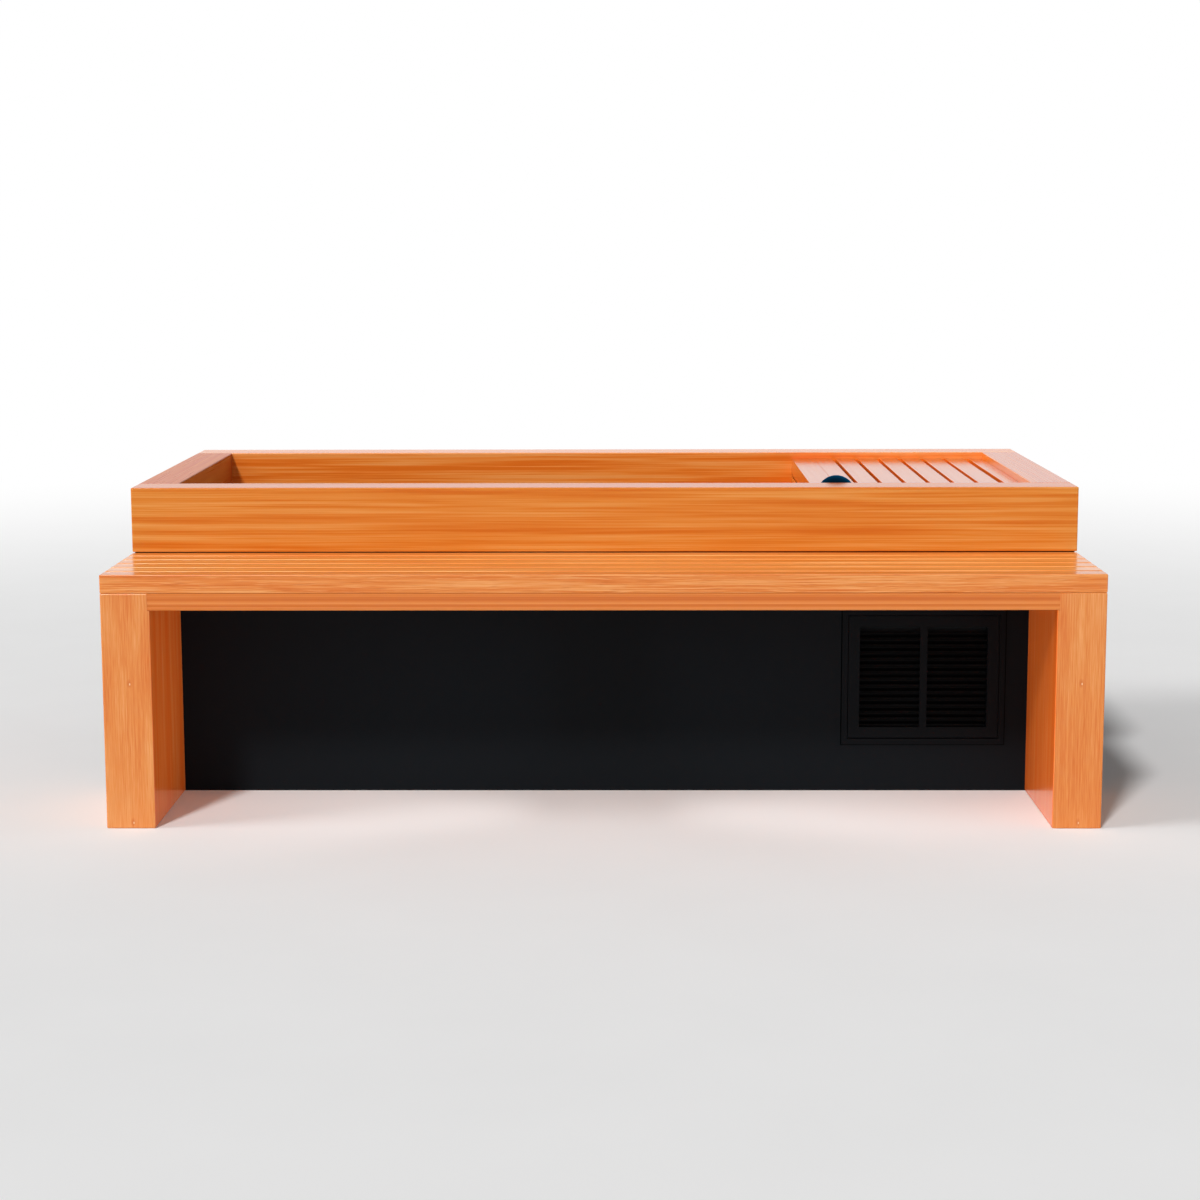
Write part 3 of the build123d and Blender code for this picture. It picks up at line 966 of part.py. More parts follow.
with BuildPart() as filter_lid:
    rod_z(COLUMN_X, SUCTION_Y, (LID_BASE, LID_TOP), NECK_RADIUS)
    rod_z(COLUMN_X, SUCTION_Y, (LID_BASE - LID_PLUG_DEPTH, LID_BASE), FILTER_BORE - LID_CLEARANCE)
    with Locations((COLUMN_X, SUCTION_Y, LID_TOP + LID_BAR[2] / 2)):
        Box(*LID_BAR)
    fillet(filter_lid.edges().group_by(Axis.Z)[-1], EDGE_ROUND)
save(filter_lid, "filter_lid")

# Drain valve behind the access hole, its lever on a stem, and the spigot for a hose end
DRAIN_VALVE_BACK = DRAIN_SPIGOT_END - DRAIN_SPIGOT_REACH
DRAIN_VALVE_Y = (DRAIN_VALVE_BACK - DRAIN_VALVE_LENGTH, DRAIN_VALVE_BACK)
STEM_Y = sum(DRAIN_VALVE_Y) / 2
BONNET_TOP = DRAIN_PIPE_Z + DRAIN_VALVE_RADIUS + DRAIN_BONNET_HEIGHT
STEM_BASE = DRAIN_PIPE_Z + DRAIN_VALVE_RADIUS - DRAIN_STEM_BITE
LEVER_BASE = BONNET_TOP + LID_CLEARANCE
SPIGOT_START = DRAIN_SPIGOT_END - DRAIN_SPIGOT_LENGTH

with BuildPart() as drain_valve:
    rod_y(DRAIN_RUN_X, DRAIN_VALVE_Y, DRAIN_PIPE_Z, DRAIN_VALVE_RADIUS)
    fillet(drain_valve.edges().filter_by(GeomType.CIRCLE), EDGE_ROUND)
    rod_z(DRAIN_RUN_X, STEM_Y, (DRAIN_PIPE_Z, BONNET_TOP), BOLT_HEAD_RADIUS)
    rod_y(DRAIN_RUN_X, (STEM_Y, SPIGOT_START), DRAIN_PIPE_Z, PIPE_RADIUS)
    rod_y(DRAIN_RUN_X, (SPIGOT_START, DRAIN_SPIGOT_END), DRAIN_PIPE_Z, DRAIN_SPIGOT_RADIUS)
    rod_y(DRAIN_RUN_X, (DRAIN_VALVE_Y[0], DRAIN_SPIGOT_END), DRAIN_PIPE_Z, PIPE_BORE, Mode.SUBTRACT)
    rod_z(DRAIN_RUN_X, STEM_Y, (STEM_BASE, BONNET_TOP), DRAIN_STEM_RADIUS + DRAIN_STEM_CLEARANCE,
          Mode.SUBTRACT)
save(drain_valve, "drain_valve")

with BuildPart() as drain_handle:
    rod_z(DRAIN_RUN_X, STEM_Y, (STEM_BASE + LID_CLEARANCE, LEVER_BASE + DRAIN_LEVER_THICKNESS),
          DRAIN_STEM_RADIUS)
    with BuildSketch(Plane.XY.offset(LEVER_BASE)):
        with Locations((DRAIN_RUN_X + DRAIN_LEVER_LENGTH / 2, STEM_Y)):
            SlotCenterToCenter(DRAIN_LEVER_LENGTH, DRAIN_LEVER_WIDTH)
    extrude(amount=DRAIN_LEVER_THICKNESS)
save(drain_handle, "drain_handle")

# Water pipes: suction, pump to filter, filter to exchanger, exchanger to valve,
# valve to return eye, and the drain run
WATER_RUNS = [
    [(NECK_END, SUCTION_Y, SUCTION_Z), (VOLUTE_X[0] - BOSS_LENGTH, SUCTION_Y, SUCTION_Z)],
    [(PUMP_X, SUCTION_Y, PUMP_OUTLET_Z), (PUMP_X, SUCTION_Y, FILTER_INLET_Z),
     (COLUMN_X - FILTER_REACH, SUCTION_Y, FILTER_INLET_Z)],
    [(COLUMN_X, SUCTION_Y - FILTER_REACH, FILTER_OUTLET_Z),
     (COLUMN_X, CHILLER_Y + EXCHANGER_REACH, FILTER_OUTLET_Z)],
    [(EXCHANGER_PORT_X, CHILLER_Y, OVERHEAD_Z), (OVERHEAD_X, CHILLER_Y, OVERHEAD_Z),
     (OVERHEAD_X, KNOB_Y, OVERHEAD_Z), (OVERHEAD_X, KNOB_Y, FEED_PORT_Z),
     (KNOB_X + VALVE_PORT, KNOB_Y, FEED_PORT_Z)],
    [(KNOB_X, KNOB_Y + VALVE_PORT, JET_PORT_Z), (KNOB_X, RETURN_Y, JET_PORT_Z),
     (RETURN_DROP_X, RETURN_Y, JET_PORT_Z), (RETURN_DROP_X, RETURN_Y, RETURN_Z),
     (NECK_END, RETURN_Y, RETURN_Z)],
    [(DRAIN_X + DRAIN_BODY_RADIUS, DRAIN_Y, DRAIN_PIPE_Z), (DRAIN_RUN_X, DRAIN_Y, DRAIN_PIPE_Z),
     (DRAIN_RUN_X, DRAIN_VALVE_Y[0], DRAIN_PIPE_Z)],
]
pipe_runs = [tube(run, PIPE_RADIUS, PIPE_WALL, PIPE_BEND) for run in WATER_RUNS]

with BuildPart() as water_pipes:
    add(pipe_runs)
save(water_pipes, "water_pipes")

# Control box on the back skirt, and the power inlet through it
with BuildPart() as control_box:
    block((CONTROL_BOX_X - CONTROL_BOX[0] / 2, CONTROL_BOX_X + CONTROL_BOX[0] / 2),
          (FRAME_BACK - CONTROL_BOX[1], FRAME_BACK),
          (CONTROL_BOX_Z - CONTROL_BOX[2] / 2, CONTROL_BOX_Z + CONTROL_BOX[2] / 2))
    fillet(control_box.edges().filter_by(Axis.Y), CONTROL_BOX_ROUND)
save(control_box, "control_box")

with BuildPart() as power_inlet:
    with BuildSketch(Plane.XZ.offset(-(SKIRT_BACK + INLET_FLANGE_DEPTH))):
        with Locations((INLET_X, INLET_Z)):
            RectangleRounded(INLET_FLANGE, INLET_FLANGE, CONTROL_BOX_ROUND)
    extrude(amount=INLET_FLANGE_DEPTH)
    rod_y(INLET_X, (SKIRT_BACK - INLET_BODY_DEPTH, SKIRT_BACK), INLET_Z, INLET_BODY_RADIUS)
    rod_y(INLET_X, (SKIRT_BACK - INLET_SOCKET_DEPTH, SKIRT_BACK + INLET_FLANGE_DEPTH), INLET_Z,
          INLET_SOCKET_RADIUS, Mode.SUBTRACT)
    with Locations(Plane(origin=(INLET_X, SKIRT_BACK - INLET_SOCKET_DEPTH, INLET_Z), z_dir=(0, 1, 0))):
        with PolarLocations(INLET_PIN_CIRCLE, INLET_PIN_COUNT):
            Cylinder(INLET_PIN_RADIUS, INLET_PIN_LENGTH, align=(Align.CENTER, Align.CENTER, Align.MIN))
save(power_inlet, "power_inlet")

# Bench seat: lengthwise boards, the two outer ones narrower
SEAT_BASE = BENCH_HEIGHT - SEAT_BOARD_THICKNESS
SEAT_STRETCH = SKIRT_FRONT - SEAT_BACK_CLEARANCE - BENCH_FRONT
SEAT_GAPS = (SEAT_BOARD_COUNT - 1) * SEAT_GAP
SEAT_BOARD_WIDTH = (SEAT_STRETCH - SEAT_GAPS - 2 * SEAT_EDGE_BOARD_WIDTH) / (SEAT_BOARD_COUNT - 2)

seat_front = BENCH_FRONT
for index in range(SEAT_BOARD_COUNT):
    outer = index in (0, SEAT_BOARD_COUNT - 1)
    width = SEAT_EDGE_BOARD_WIDTH if outer else SEAT_BOARD_WIDTH
    with BuildPart() as bench_slat:
        block((-END_X, END_X), (seat_front, seat_front + width), (SEAT_BASE, BENCH_HEIGHT))
        fillet(bench_slat.edges(), SEAT_ROUND)
    save(bench_slat, f"bench_slat_{index + 1}")
    seat_front += width + SEAT_GAP

# Bench rails, let a little way into the legs, and the battens between them
LEG_INNER_X = END_X - LEG_WIDTH
RAIL_X = (-(LEG_INNER_X + APRON_HOUSING), LEG_INNER_X + APRON_HOUSING)
RAIL_Z = (SEAT_BASE - APRON_HEIGHT, SEAT_BASE)
APRON_Y = (BENCH_FRONT + APRON_SETBACK, BENCH_FRONT + APRON_SETBACK + APRON_THICKNESS)
BACK_RAIL_Y = (SKIRT_FRONT - APRON_THICKNESS, SKIRT_FRONT)
BOLT_TIP = SKIRT_FRONT - BOLT_BITE

with BuildPart() as bench_apron:
    block(RAIL_X, APRON_Y, RAIL_Z)
    fillet(bench_apron.edges().filter_by(Axis.X).group_by(Axis.Y)[0].sort_by(Axis.Z)[0], EDGE_ROUND)
save(bench_apron, "bench_apron")

with BuildPart() as bench_back_rail:
    block(RAIL_X, BACK_RAIL_Y, RAIL_Z)
    for x, z in BOLT_SPOTS:
        rod_y(x, (BOLT_TIP, SKIRT_FRONT), z, BOLT_RADIUS, Mode.SUBTRACT)
save(bench_back_rail, "bench_back_rail")

with BuildPart() as bench_battens:
    for x in BENCH_BATTEN_X:
        block((x - BENCH_BATTEN_WIDTH / 2, x + BENCH_BATTEN_WIDTH / 2), (APRON_Y[1], BACK_RAIL_Y[0]),
              (SEAT_BASE - BENCH_BATTEN_THICKNESS, SEAT_BASE))
save(bench_battens, "bench_battens")

# Slab legs, housed out for both rails and drilled for the bolts
for name, side in (("left_leg", (-END_X, -LEG_INNER_X)), ("right_leg", (LEG_INNER_X, END_X))):
    with BuildPart() as leg:
        block(side, (BENCH_FRONT, SKIRT_FRONT), (0, SEAT_BASE))
        fillet(leg.edges(), LEG_ROUND)
        block(RAIL_X, (BENCH_FRONT, APRON_Y[1]), RAIL_Z, Mode.SUBTRACT)
        block(RAIL_X, BACK_RAIL_Y, RAIL_Z, Mode.SUBTRACT)
        for x, z in BOLT_SPOTS:
            rod_y(x, (BOLT_TIP, SKIRT_FRONT), z, BOLT_RADIUS, Mode.SUBTRACT)
    save(leg, name)

# Bolts from inside the frame posts into the legs and the back rail
HEAD_Y = (FRAME_FRONT + TUBE, FRAME_FRONT + TUBE + BOLT_HEAD_HEIGHT)

with BuildPart() as bench_bolts:
    for x, z in BOLT_SPOTS:
        rod_y(x, (BOLT_TIP, HEAD_Y[0]), z, BOLT_RADIUS)
    with BuildSketch(Plane.XZ.offset(-HEAD_Y[1])):
        with Locations(*BOLT_SPOTS):
            RegularPolygon(BOLT_HEAD_RADIUS, 6)
    extrude(amount=BOLT_HEAD_HEIGHT)
save(bench_bolts, "bench_bolts")
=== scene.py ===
"""Cold plunge tub: a cedar rim, deck and bench over charcoal panels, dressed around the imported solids."""
import logging
import math
from dataclasses import dataclass, field
from enum import Enum
from typing import Any, Iterable, Mapping, Optional, Sequence

import bpy
from mathutils import Matrix, Vector


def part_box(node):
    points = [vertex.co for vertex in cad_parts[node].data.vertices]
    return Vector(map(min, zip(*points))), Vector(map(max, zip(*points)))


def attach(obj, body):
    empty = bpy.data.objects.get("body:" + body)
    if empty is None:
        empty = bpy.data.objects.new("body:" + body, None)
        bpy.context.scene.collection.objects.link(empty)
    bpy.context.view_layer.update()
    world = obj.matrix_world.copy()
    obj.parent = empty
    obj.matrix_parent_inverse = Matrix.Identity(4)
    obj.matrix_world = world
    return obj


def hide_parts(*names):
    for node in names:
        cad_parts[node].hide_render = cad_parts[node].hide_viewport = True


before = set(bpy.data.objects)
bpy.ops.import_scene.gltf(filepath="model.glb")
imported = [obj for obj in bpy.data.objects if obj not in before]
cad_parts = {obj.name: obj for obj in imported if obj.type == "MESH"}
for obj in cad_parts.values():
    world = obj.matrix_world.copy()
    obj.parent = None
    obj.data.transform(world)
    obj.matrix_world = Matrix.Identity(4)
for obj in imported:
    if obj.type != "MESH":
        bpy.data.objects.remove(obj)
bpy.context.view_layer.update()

MM = 0.001
HALF_TURN = math.pi

log = logging.getLogger("plunge_tub")


# Small helpers

def linear(code: str) -> tuple[float, float, float, float]:
    """Turns an sRGB hex colour to the linear colour that shaders take.

    Args:
        code: the colour as "#RRGGBB".

    Returns:
        Red, green, blue and a full alpha.
    """
    channels = [int(code[start:start + 2], 16) / 255 for start in (1, 3, 5)]
    return (*[c / 12.92 if c <= 0.04045 else ((c + 0.055) / 1.055) ** 2.4 for c in channels], 1.0)


def add_node(tree: bpy.types.NodeTree, kind: str, inputs: Optional[Mapping[Any, Any]] = None,
             **settings: Any) -> bpy.types.Node:
    """Adds one node with its settings and links.

    Args:
        tree: the tree that gets the node.
        kind: the node's type name.
        inputs: input names or numbers, each with a value, or with a node or socket to link from.
        **settings: properties of the node.

    Returns:
        The new node.
    """
    node = tree.nodes.new(kind)
    for name, value in settings.items():
        setattr(node, name, value)
    for key, value in (inputs or {}).items():
        if isinstance(value, bpy.types.Node):
            value = next(socket for socket in value.outputs if socket.enabled)
        if isinstance(value, bpy.types.NodeSocket):
            tree.links.new(value, node.inputs[key])
        else:
            node.inputs[key].default_value = value
    return node


def new_material(name: str) -> tuple[bpy.types.Material, bpy.types.NodeTree]:
    """Makes a material with an empty node tree.

    Args:
        name: the material's name.

    Returns:
        The material and its tree.
    """
    material = bpy.data.materials.new(name)
    material.use_nodes = True
    material.node_tree.nodes.clear()
    return material, material.node_tree


def dress(node: str, material: bpy.types.Material) -> bpy.types.Object:
    """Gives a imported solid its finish.

    Args:
        node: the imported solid's name.
        material: the finish.

    Returns:
        The solid's object.
    """
    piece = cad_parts[node]
    for place in piece.material_slots:
        place.material = material
    return piece


# Finishes

class Grain(Enum):
    """The axis that a board's grain runs along."""

    ALONG_X = 0
    ALONG_Y = 1
    ALONG_Z = 2

    def stretch(self, length_mm: float, width_mm: float) -> tuple[float, ...]:
        """Gives a pattern's scale, long along the grain and narrow across it.

        Args:
            length_mm: a feature's length along the grain.
            width_mm: its width across the grain.

        Returns:
            The scale on each axis, per metre.
        """
        scale = [1 / (width_mm * MM)] * 3
        scale[self.value] = 1 / (length_mm * MM)
        return tuple(scale)

    def across(self, amount: float) -> tuple[float, ...]:
        """Gives an amount on the two axes across the grain, and none along it."""
        return tuple(0.0 if axis == self.value else amount for axis in range(3))


@dataclass(frozen=True)
class CedarFinish:
    """Western cedar, planed and clear-coated: warm orange, with soft long growth bands under a satin film."""

    name: str
    grain: Grain
    shift: float = 0.0
    deep: str = "#D56A11"
    middle: str = "#DE8026"
    pale: str = "#E59642"
    band_mm: float = 13.0
    band_length_mm: float = 620.0
    line_mm: float = 3.4
    line_length_mm: float = 420.0
    fibre_mm: float = 0.8
    fibre_length_mm: float = 60.0
    wander_mm: float = 2.5
    wander_length_mm: float = 420.0
    spread: float = 0.13
    weights: tuple[float, float, float] = (0.58, 0.34, 0.08)
    fleck: float = 0.0
    knots: tuple[tuple[float, float, float], ...] = ()
    roughness: tuple[float, float] = (0.18, 0.22)
    relief: float = 0.0
    board_step: float = 0.0
    specular: float = 0.5
    # Painted light: the faces that look along this side take this tint, in this share
    painted_light_side: Optional[tuple[float, float, float]] = None
    painted_light_tint: str = "#F0641A"
    painted_light_share: float = 0.8
    both_sides: bool = False

    def pattern(self, tree: bpy.types.NodeTree, place: Any, length_mm: float, width_mm: float,
                detail: float) -> bpy.types.Node:
        """Adds one layer of grain.

        Args:
            tree: the material's tree.
            place: the node that gives the point.
            length_mm: the layer's feature length along the grain.
            width_mm: its feature width across the grain.
            detail: how many finer layers ride on it.

        Returns:
            The layer's noise node.
        """
        scaled = add_node(tree, "ShaderNodeMapping", {"Vector": place, "Scale": self.grain.stretch(length_mm, width_mm)})
        return add_node(tree, "ShaderNodeTexNoise", {"Vector": scaled, "Scale": 1.0, "Detail": detail})

    def build(self) -> bpy.types.Material:
        """Makes the material.

        Returns:
            The finished material.
        """
        material, tree = new_material(self.name)
        point = add_node(tree, "ShaderNodeTexCoord").outputs["Object"]
        place = add_node(tree, "ShaderNodeVectorMath",
                         {0: point, 1: (self.shift * 1.7, self.shift * 1.1, self.shift * 0.9)}, operation="ADD")
        if self.board_step:
            board = add_node(tree, "ShaderNodeAttribute", attribute_name="board")
            step = add_node(tree, "ShaderNodeVectorMath", {0: board.outputs["Vector"], "Scale": self.board_step},
                            operation="SCALE")
            place = add_node(tree, "ShaderNodeVectorMath", {0: place, 1: step}, operation="ADD")
        drift = self.pattern(tree, place, self.wander_length_mm, self.wander_length_mm / 7, 1.0)
        centred = add_node(tree, "ShaderNodeVectorMath", {0: drift.outputs["Color"], 1: (0.5, 0.5, 0.5)},
                           operation="SUBTRACT")
        bent = add_node(tree, "ShaderNodeVectorMath",
                        {0: centred, 1: self.grain.across(2 * self.wander_mm * MM), 2: place},
                        operation="MULTIPLY_ADD")
        bands = self.pattern(tree, bent, self.band_length_mm, self.band_mm, 2.0)
        lines = self.pattern(tree, bent, self.line_length_mm, self.line_mm, 1.0)
        fibres = self.pattern(tree, bent, self.fibre_length_mm, self.fibre_mm, 1.0)
        tone = add_node(tree, "ShaderNodeMath", {0: bands, 1: self.weights[0], 2: 0.0}, operation="MULTIPLY_ADD")
        tone = add_node(tree, "ShaderNodeMath", {0: lines, 1: self.weights[1], 2: tone}, operation="MULTIPLY_ADD")
        tone = add_node(tree, "ShaderNodeMath", {0: fibres, 1: self.weights[2], 2: tone}, operation="MULTIPLY_ADD")
        ramp = add_node(tree, "ShaderNodeValToRGB", {"Fac": tone})
        low, high = ramp.color_ramp.elements
        low.position, low.color = 0.5 - self.spread, linear(self.deep)
        high.position, high.color = 0.5 + self.spread, linear(self.pale)
        half = ramp.color_ramp.elements.new(0.5)
        half.color = linear(self.middle)
        colour: Any = ramp.outputs["Color"]
        if self.fleck:
            dashes = self.pattern(tree, bent, 48.0, 1.6, 2.0)
            share = add_node(tree, "ShaderNodeMapRange",
                             {"Value": dashes, "From Min": 0.58, "From Max": 0.72, "To Max": self.fleck})
            colour = add_node(tree, "ShaderNodeMix", {0: share, 6: colour, 7: linear("#B9550F")},
                              data_type="RGBA").outputs[2]
            glints = self.pattern(tree, bent, 60.0, 2.0, 1.0)
            share = add_node(tree, "ShaderNodeMapRange",
                             {"Value": glints, "From Min": 0.60, "From Max": 0.72, "To Max": self.fleck})
            colour = add_node(tree, "ShaderNodeMix", {0: share, 6: colour, 7: linear("#EFA765")},
                              data_type="RGBA").outputs[2]
        # Painted light: a brighter, redder tint on the faces that look along one side
        if self.painted_light_side:
            colour = self.painted_side_light(tree, bent, colour)
        colour = self.end_grain(tree, point, colour)
        for knot in self.knots:
            colour = self.knot(tree, point, knot, colour)
        rough = add_node(tree, "ShaderNodeMapRange", {"Value": lines, "From Min": 0.3, "From Max": 0.7,
                                                      "To Min": self.roughness[0], "To Max": self.roughness[1]})
        inputs = {"Base Color": colour, "Roughness": rough, "IOR": 1.5, "Specular IOR Level": self.specular}
        if self.relief:
            inputs["Normal"] = add_node(tree, "ShaderNodeBump",
                                        {"Height": lines, "Strength": self.relief, "Distance": 0.1 * MM})
        shader = add_node(tree, "ShaderNodeBsdfPrincipled", inputs)
        add_node(tree, "ShaderNodeOutputMaterial", {"Surface": shader})
        return material

    def painted_side_light(self, tree: bpy.types.NodeTree, place: Any, colour: Any) -> Any:
        """Paints light on the faces that look one way: a brighter, redder tint in upright streaks.

        Args:
            tree: the material's tree.
            place: the node that gives the bent point.
            colour: the colour socket of the other faces.

        Returns:
            The colour socket with the redder faces in it.
        """
        normal = add_node(tree, "ShaderNodeTexCoord").outputs["Normal"]
        facing: Any = add_node(tree, "ShaderNodeVectorMath", {0: normal, 1: self.painted_light_side},
                               operation="DOT_PRODUCT").outputs["Value"]
        if self.both_sides:
            facing = add_node(tree, "ShaderNodeMath", {0: facing}, operation="ABSOLUTE")
        streaks = self.pattern(tree, place, 900.0, 26.0, 2.0)
        depth = add_node(tree, "ShaderNodeMapRange", {"Value": streaks, "From Min": 0.35, "From Max": 0.65,
                                                      "To Min": 0.6 * self.painted_light_share, "To Max": self.painted_light_share})
        share = add_node(tree, "ShaderNodeMapRange", {"Value": facing, "From Min": 0.6, "From Max": 0.8,
                                                      "To Max": depth})
        return add_node(tree, "ShaderNodeMix", {0: share, 6: colour, 7: linear(self.painted_light_tint)},
                        data_type="RGBA").outputs[2]

    def end_grain(self, tree: bpy.types.NodeTree, point: Any, colour: Any) -> Any:
        """Draws the growth rings where a board is cut across, as arcs round a pith outside the board.

        Args:
            tree: the material's tree.
            point: the socket that gives the point.
            colour: the colour socket of the long faces.

        Returns:
            The colour socket with the ring pattern on the ends.
        """
        ring_mm, pith_away, wobble_rings, turn_per_shift, darkest = 5.2, 0.16, 2.6, 2.4, 0.42
        turn = turn_per_shift * self.shift
        pith = Vector((0.0, -0.31, 0.56)) + pith_away * Vector((0.0, math.cos(turn), math.sin(turn)))
        flat = add_node(tree, "ShaderNodeVectorMath", {0: point, 1: self.grain.across(1.0), 2: tuple(-pith)},
                        operation="MULTIPLY_ADD")
        reach = add_node(tree, "ShaderNodeVectorMath", {0: flat}, operation="LENGTH").outputs["Value"]
        rough_ring = add_node(tree, "ShaderNodeTexNoise", {"Vector": point, "Scale": 38.0, "Detail": 3.0})
        wobble = add_node(tree, "ShaderNodeMath", {0: rough_ring, 1: wobble_rings * ring_mm * MM, 2: reach},
                          operation="MULTIPLY_ADD")
        wave = add_node(tree, "ShaderNodeMath", {0: wobble, 1: 2 * HALF_TURN / (ring_mm * MM)},
                        operation="MULTIPLY")
        wave = add_node(tree, "ShaderNodeMath", {0: wave}, operation="SINE")
        depth = add_node(tree, "ShaderNodeMapRange", {"Value": wave, "From Min": -0.4, "From Max": 1.0,
                                                      "To Max": darkest})
        rings = add_node(tree, "ShaderNodeMix", {0: depth, 6: linear(self.middle), 7: linear("#A4541C")},
                         data_type="RGBA").outputs[2]
        normal = add_node(tree, "ShaderNodeTexCoord").outputs["Normal"]
        along = tuple(1.0 if axis == self.grain.value else 0.0 for axis in range(3))
        facing = add_node(tree, "ShaderNodeVectorMath", {0: normal, 1: along}, operation="DOT_PRODUCT")
        facing = add_node(tree, "ShaderNodeMath", {0: facing.outputs["Value"]}, operation="ABSOLUTE")
        share = add_node(tree, "ShaderNodeMapRange", {"Value": facing, "From Min": 0.8, "From Max": 0.95})
        return add_node(tree, "ShaderNodeMix", {0: share, 6: colour, 7: rings}, data_type="RGBA").outputs[2]

    def knot(self, tree: bpy.types.NodeTree, point: Any, centre: Sequence[float], colour: Any) -> Any:
        """Adds a pin knot: a darker swirl a few millimetres wide with a pale chip of resin in it.

        Args:
            tree: the material's tree.
            point: the socket that gives the point.
            centre: the knot's place in metres.
            colour: the colour socket under the knot.

        Returns:
            The colour socket with the knot in it.
        """
        halo_mm, chip_mm = 11.0, 3.2
        for size_mm, aside_mm, tint, strength in ((halo_mm, 0.0, "#C65A1A", 0.55), (chip_mm, 1.5, "#F6D9A8", 0.9)):
            middle = Vector(centre) + Vector((aside_mm * MM, 0, -aside_mm * MM))
            away = add_node(tree, "ShaderNodeVectorMath", {0: point, 1: tuple(middle)}, operation="SUBTRACT")
            shape = self.grain.stretch(size_mm * 1.9, size_mm)
            scaled = add_node(tree, "ShaderNodeVectorMath", {0: away, 1: shape}, operation="MULTIPLY")
            reach = add_node(tree, "ShaderNodeVectorMath", {0: scaled}, operation="LENGTH").outputs["Value"]
            share = add_node(tree, "ShaderNodeMapRange", {"Value": reach, "From Min": 0.15, "From Max": 0.55,
                                                          "To Min": strength, "To Max": 0.0})
            colour = add_node(tree, "ShaderNodeMix", {0: share, 6: colour, 7: linear(tint)},
                              data_type="RGBA").outputs[2]
        return colour


class Pattern(Enum):
    """How a surface was made, which gives its fine pattern."""

    MOULDED = "moulded"
    BRUSHED = "brushed"
    SPANGLED = "spangled"
    CELLULAR = "cellular"
    FIBROUS = "fibrous"


@dataclass(frozen=True)
class SurfaceFinish:
    """Metals, paints, plastics and foams: two close tones, a fine relief and an uneven gloss."""

    name: str
    colour: str
    second: str
    pattern: Pattern = Pattern.MOULDED
    size_mm: float = 1.5
    stretch: tuple[float, float, float] = (1.0, 1.0, 1.0)
    metallic: float = 0.0
    roughness: tuple[float, float] = (0.4, 0.55)
    ior: float = 1.5
    specular: float = 0.5
    relief_mm: float = 0.05
    coat: float = 0.0
    sheen: float = 0.0
    sheen_tint: str = "#FFFFFF"

    def build(self) -> bpy.types.Material:
        """Makes the material.

        Returns:
            The finished material.
        """
        material, tree = new_material(self.name)
        point = add_node(tree, "ShaderNodeTexCoord").outputs["Object"]
        scale = tuple(part / (self.size_mm * MM) for part in self.stretch)
        scaled = add_node(tree, "ShaderNodeMapping", {"Vector": point, "Scale": scale})
        if self.pattern in (Pattern.SPANGLED, Pattern.CELLULAR):
            cells = add_node(tree, "ShaderNodeTexVoronoi", {"Vector": scaled, "Scale": 1.0})
            value = cells.outputs["Color" if self.pattern is Pattern.SPANGLED else "Distance"]
        else:
            distortion = 1.5 if self.pattern is Pattern.FIBROUS else 0.0
            value = add_node(tree, "ShaderNodeTexNoise",
                             {"Vector": scaled, "Scale": 1.0, "Detail": 3.0, "Distortion": distortion}).outputs["Fac"]
        clouds = add_node(tree, "ShaderNodeTexNoise", {"Vector": point, "Scale": 6.0, "Detail": 2.0})
        fine = add_node(tree, "ShaderNodeMapRange", {"Value": value, "From Min": 0.3, "From Max": 0.7,
                                                     "To Min": 0.0, "To Max": 0.7})
        share = add_node(tree, "ShaderNodeMath", {0: clouds, 1: 0.3, 2: fine}, operation="MULTIPLY_ADD")
        colour = add_node(tree, "ShaderNodeMix", {0: share, 6: linear(self.colour), 7: linear(self.second)},
                          data_type="RGBA").outputs[2]
        rough = add_node(tree, "ShaderNodeMapRange", {"Value": value, "From Min": 0.3, "From Max": 0.7,
                                                      "To Min": self.roughness[0], "To Max": self.roughness[1]})
        relief = add_node(tree, "ShaderNodeBump", {"Height": value, "Strength": 0.4,
                                                   "Distance": self.relief_mm * MM})
        inputs = {"Base Color": colour, "Roughness": rough, "Normal": relief, "Metallic": self.metallic,
                  "Specular IOR Level": self.specular, "Coat Weight": self.coat, "Sheen Weight": self.sheen,
                  "Sheen Tint": linear(self.sheen_tint)}
        if not self.metallic:
            inputs["IOR"] = self.ior
        shader = add_node(tree, "ShaderNodeBsdfPrincipled", inputs)
        add_node(tree, "ShaderNodeOutputMaterial", {"Surface": shader})
        return material


# Fibre-cement panel, painted: near black, a sandy tooth and almost no gloss, so it stays dark beside the cedar
PANEL = SurfaceFinish("charcoal_painted_panel", "#0C1014", "#090D11", size_mm=0.9, roughness=(0.55, 0.75),
                      specular=0.10, relief_mm=0.06)
# Powder-coated aluminium: the panel's colour with a finer, tighter tooth
GRILLE = SurfaceFinish("charcoal_powder_coated_aluminium", "#090C10", "#07090C", size_mm=0.5,
                       roughness=(0.45, 0.6), specular=0.08, relief_mm=0.03)
# The same paint on the blades' noses, drawn a shade darker because so narrow an edge gathers little light
LOUVRE_NOSE = SurfaceFinish("charcoal_powder_coated_blade", "#070809", "#050607", size_mm=0.5,
                            roughness=(0.5, 0.65), specular=0.05, relief_mm=0.03)
# And on the sloping webs: dead matt and darker still, a painted shade for the shadow between the blades
LOUVRE_WEB_PAINTED_SHADE = SurfaceFinish("painted_shade_powder_coated_web", "#040506", "#030304", size_mm=0.5,
                           roughness=(0.7, 0.85), specular=0.03, relief_mm=0.03)
# Black, dull strip round the flange, bedded on the panel: a painted shadow for the gap between flange and panel
FLANGE_SHADOW = SurfaceFinish("painted_shadow_round_flange", "#020303", "#010202", Pattern.CELLULAR, 0.6,
                       roughness=(0.85, 0.95), specular=0.02, relief_mm=0.05)
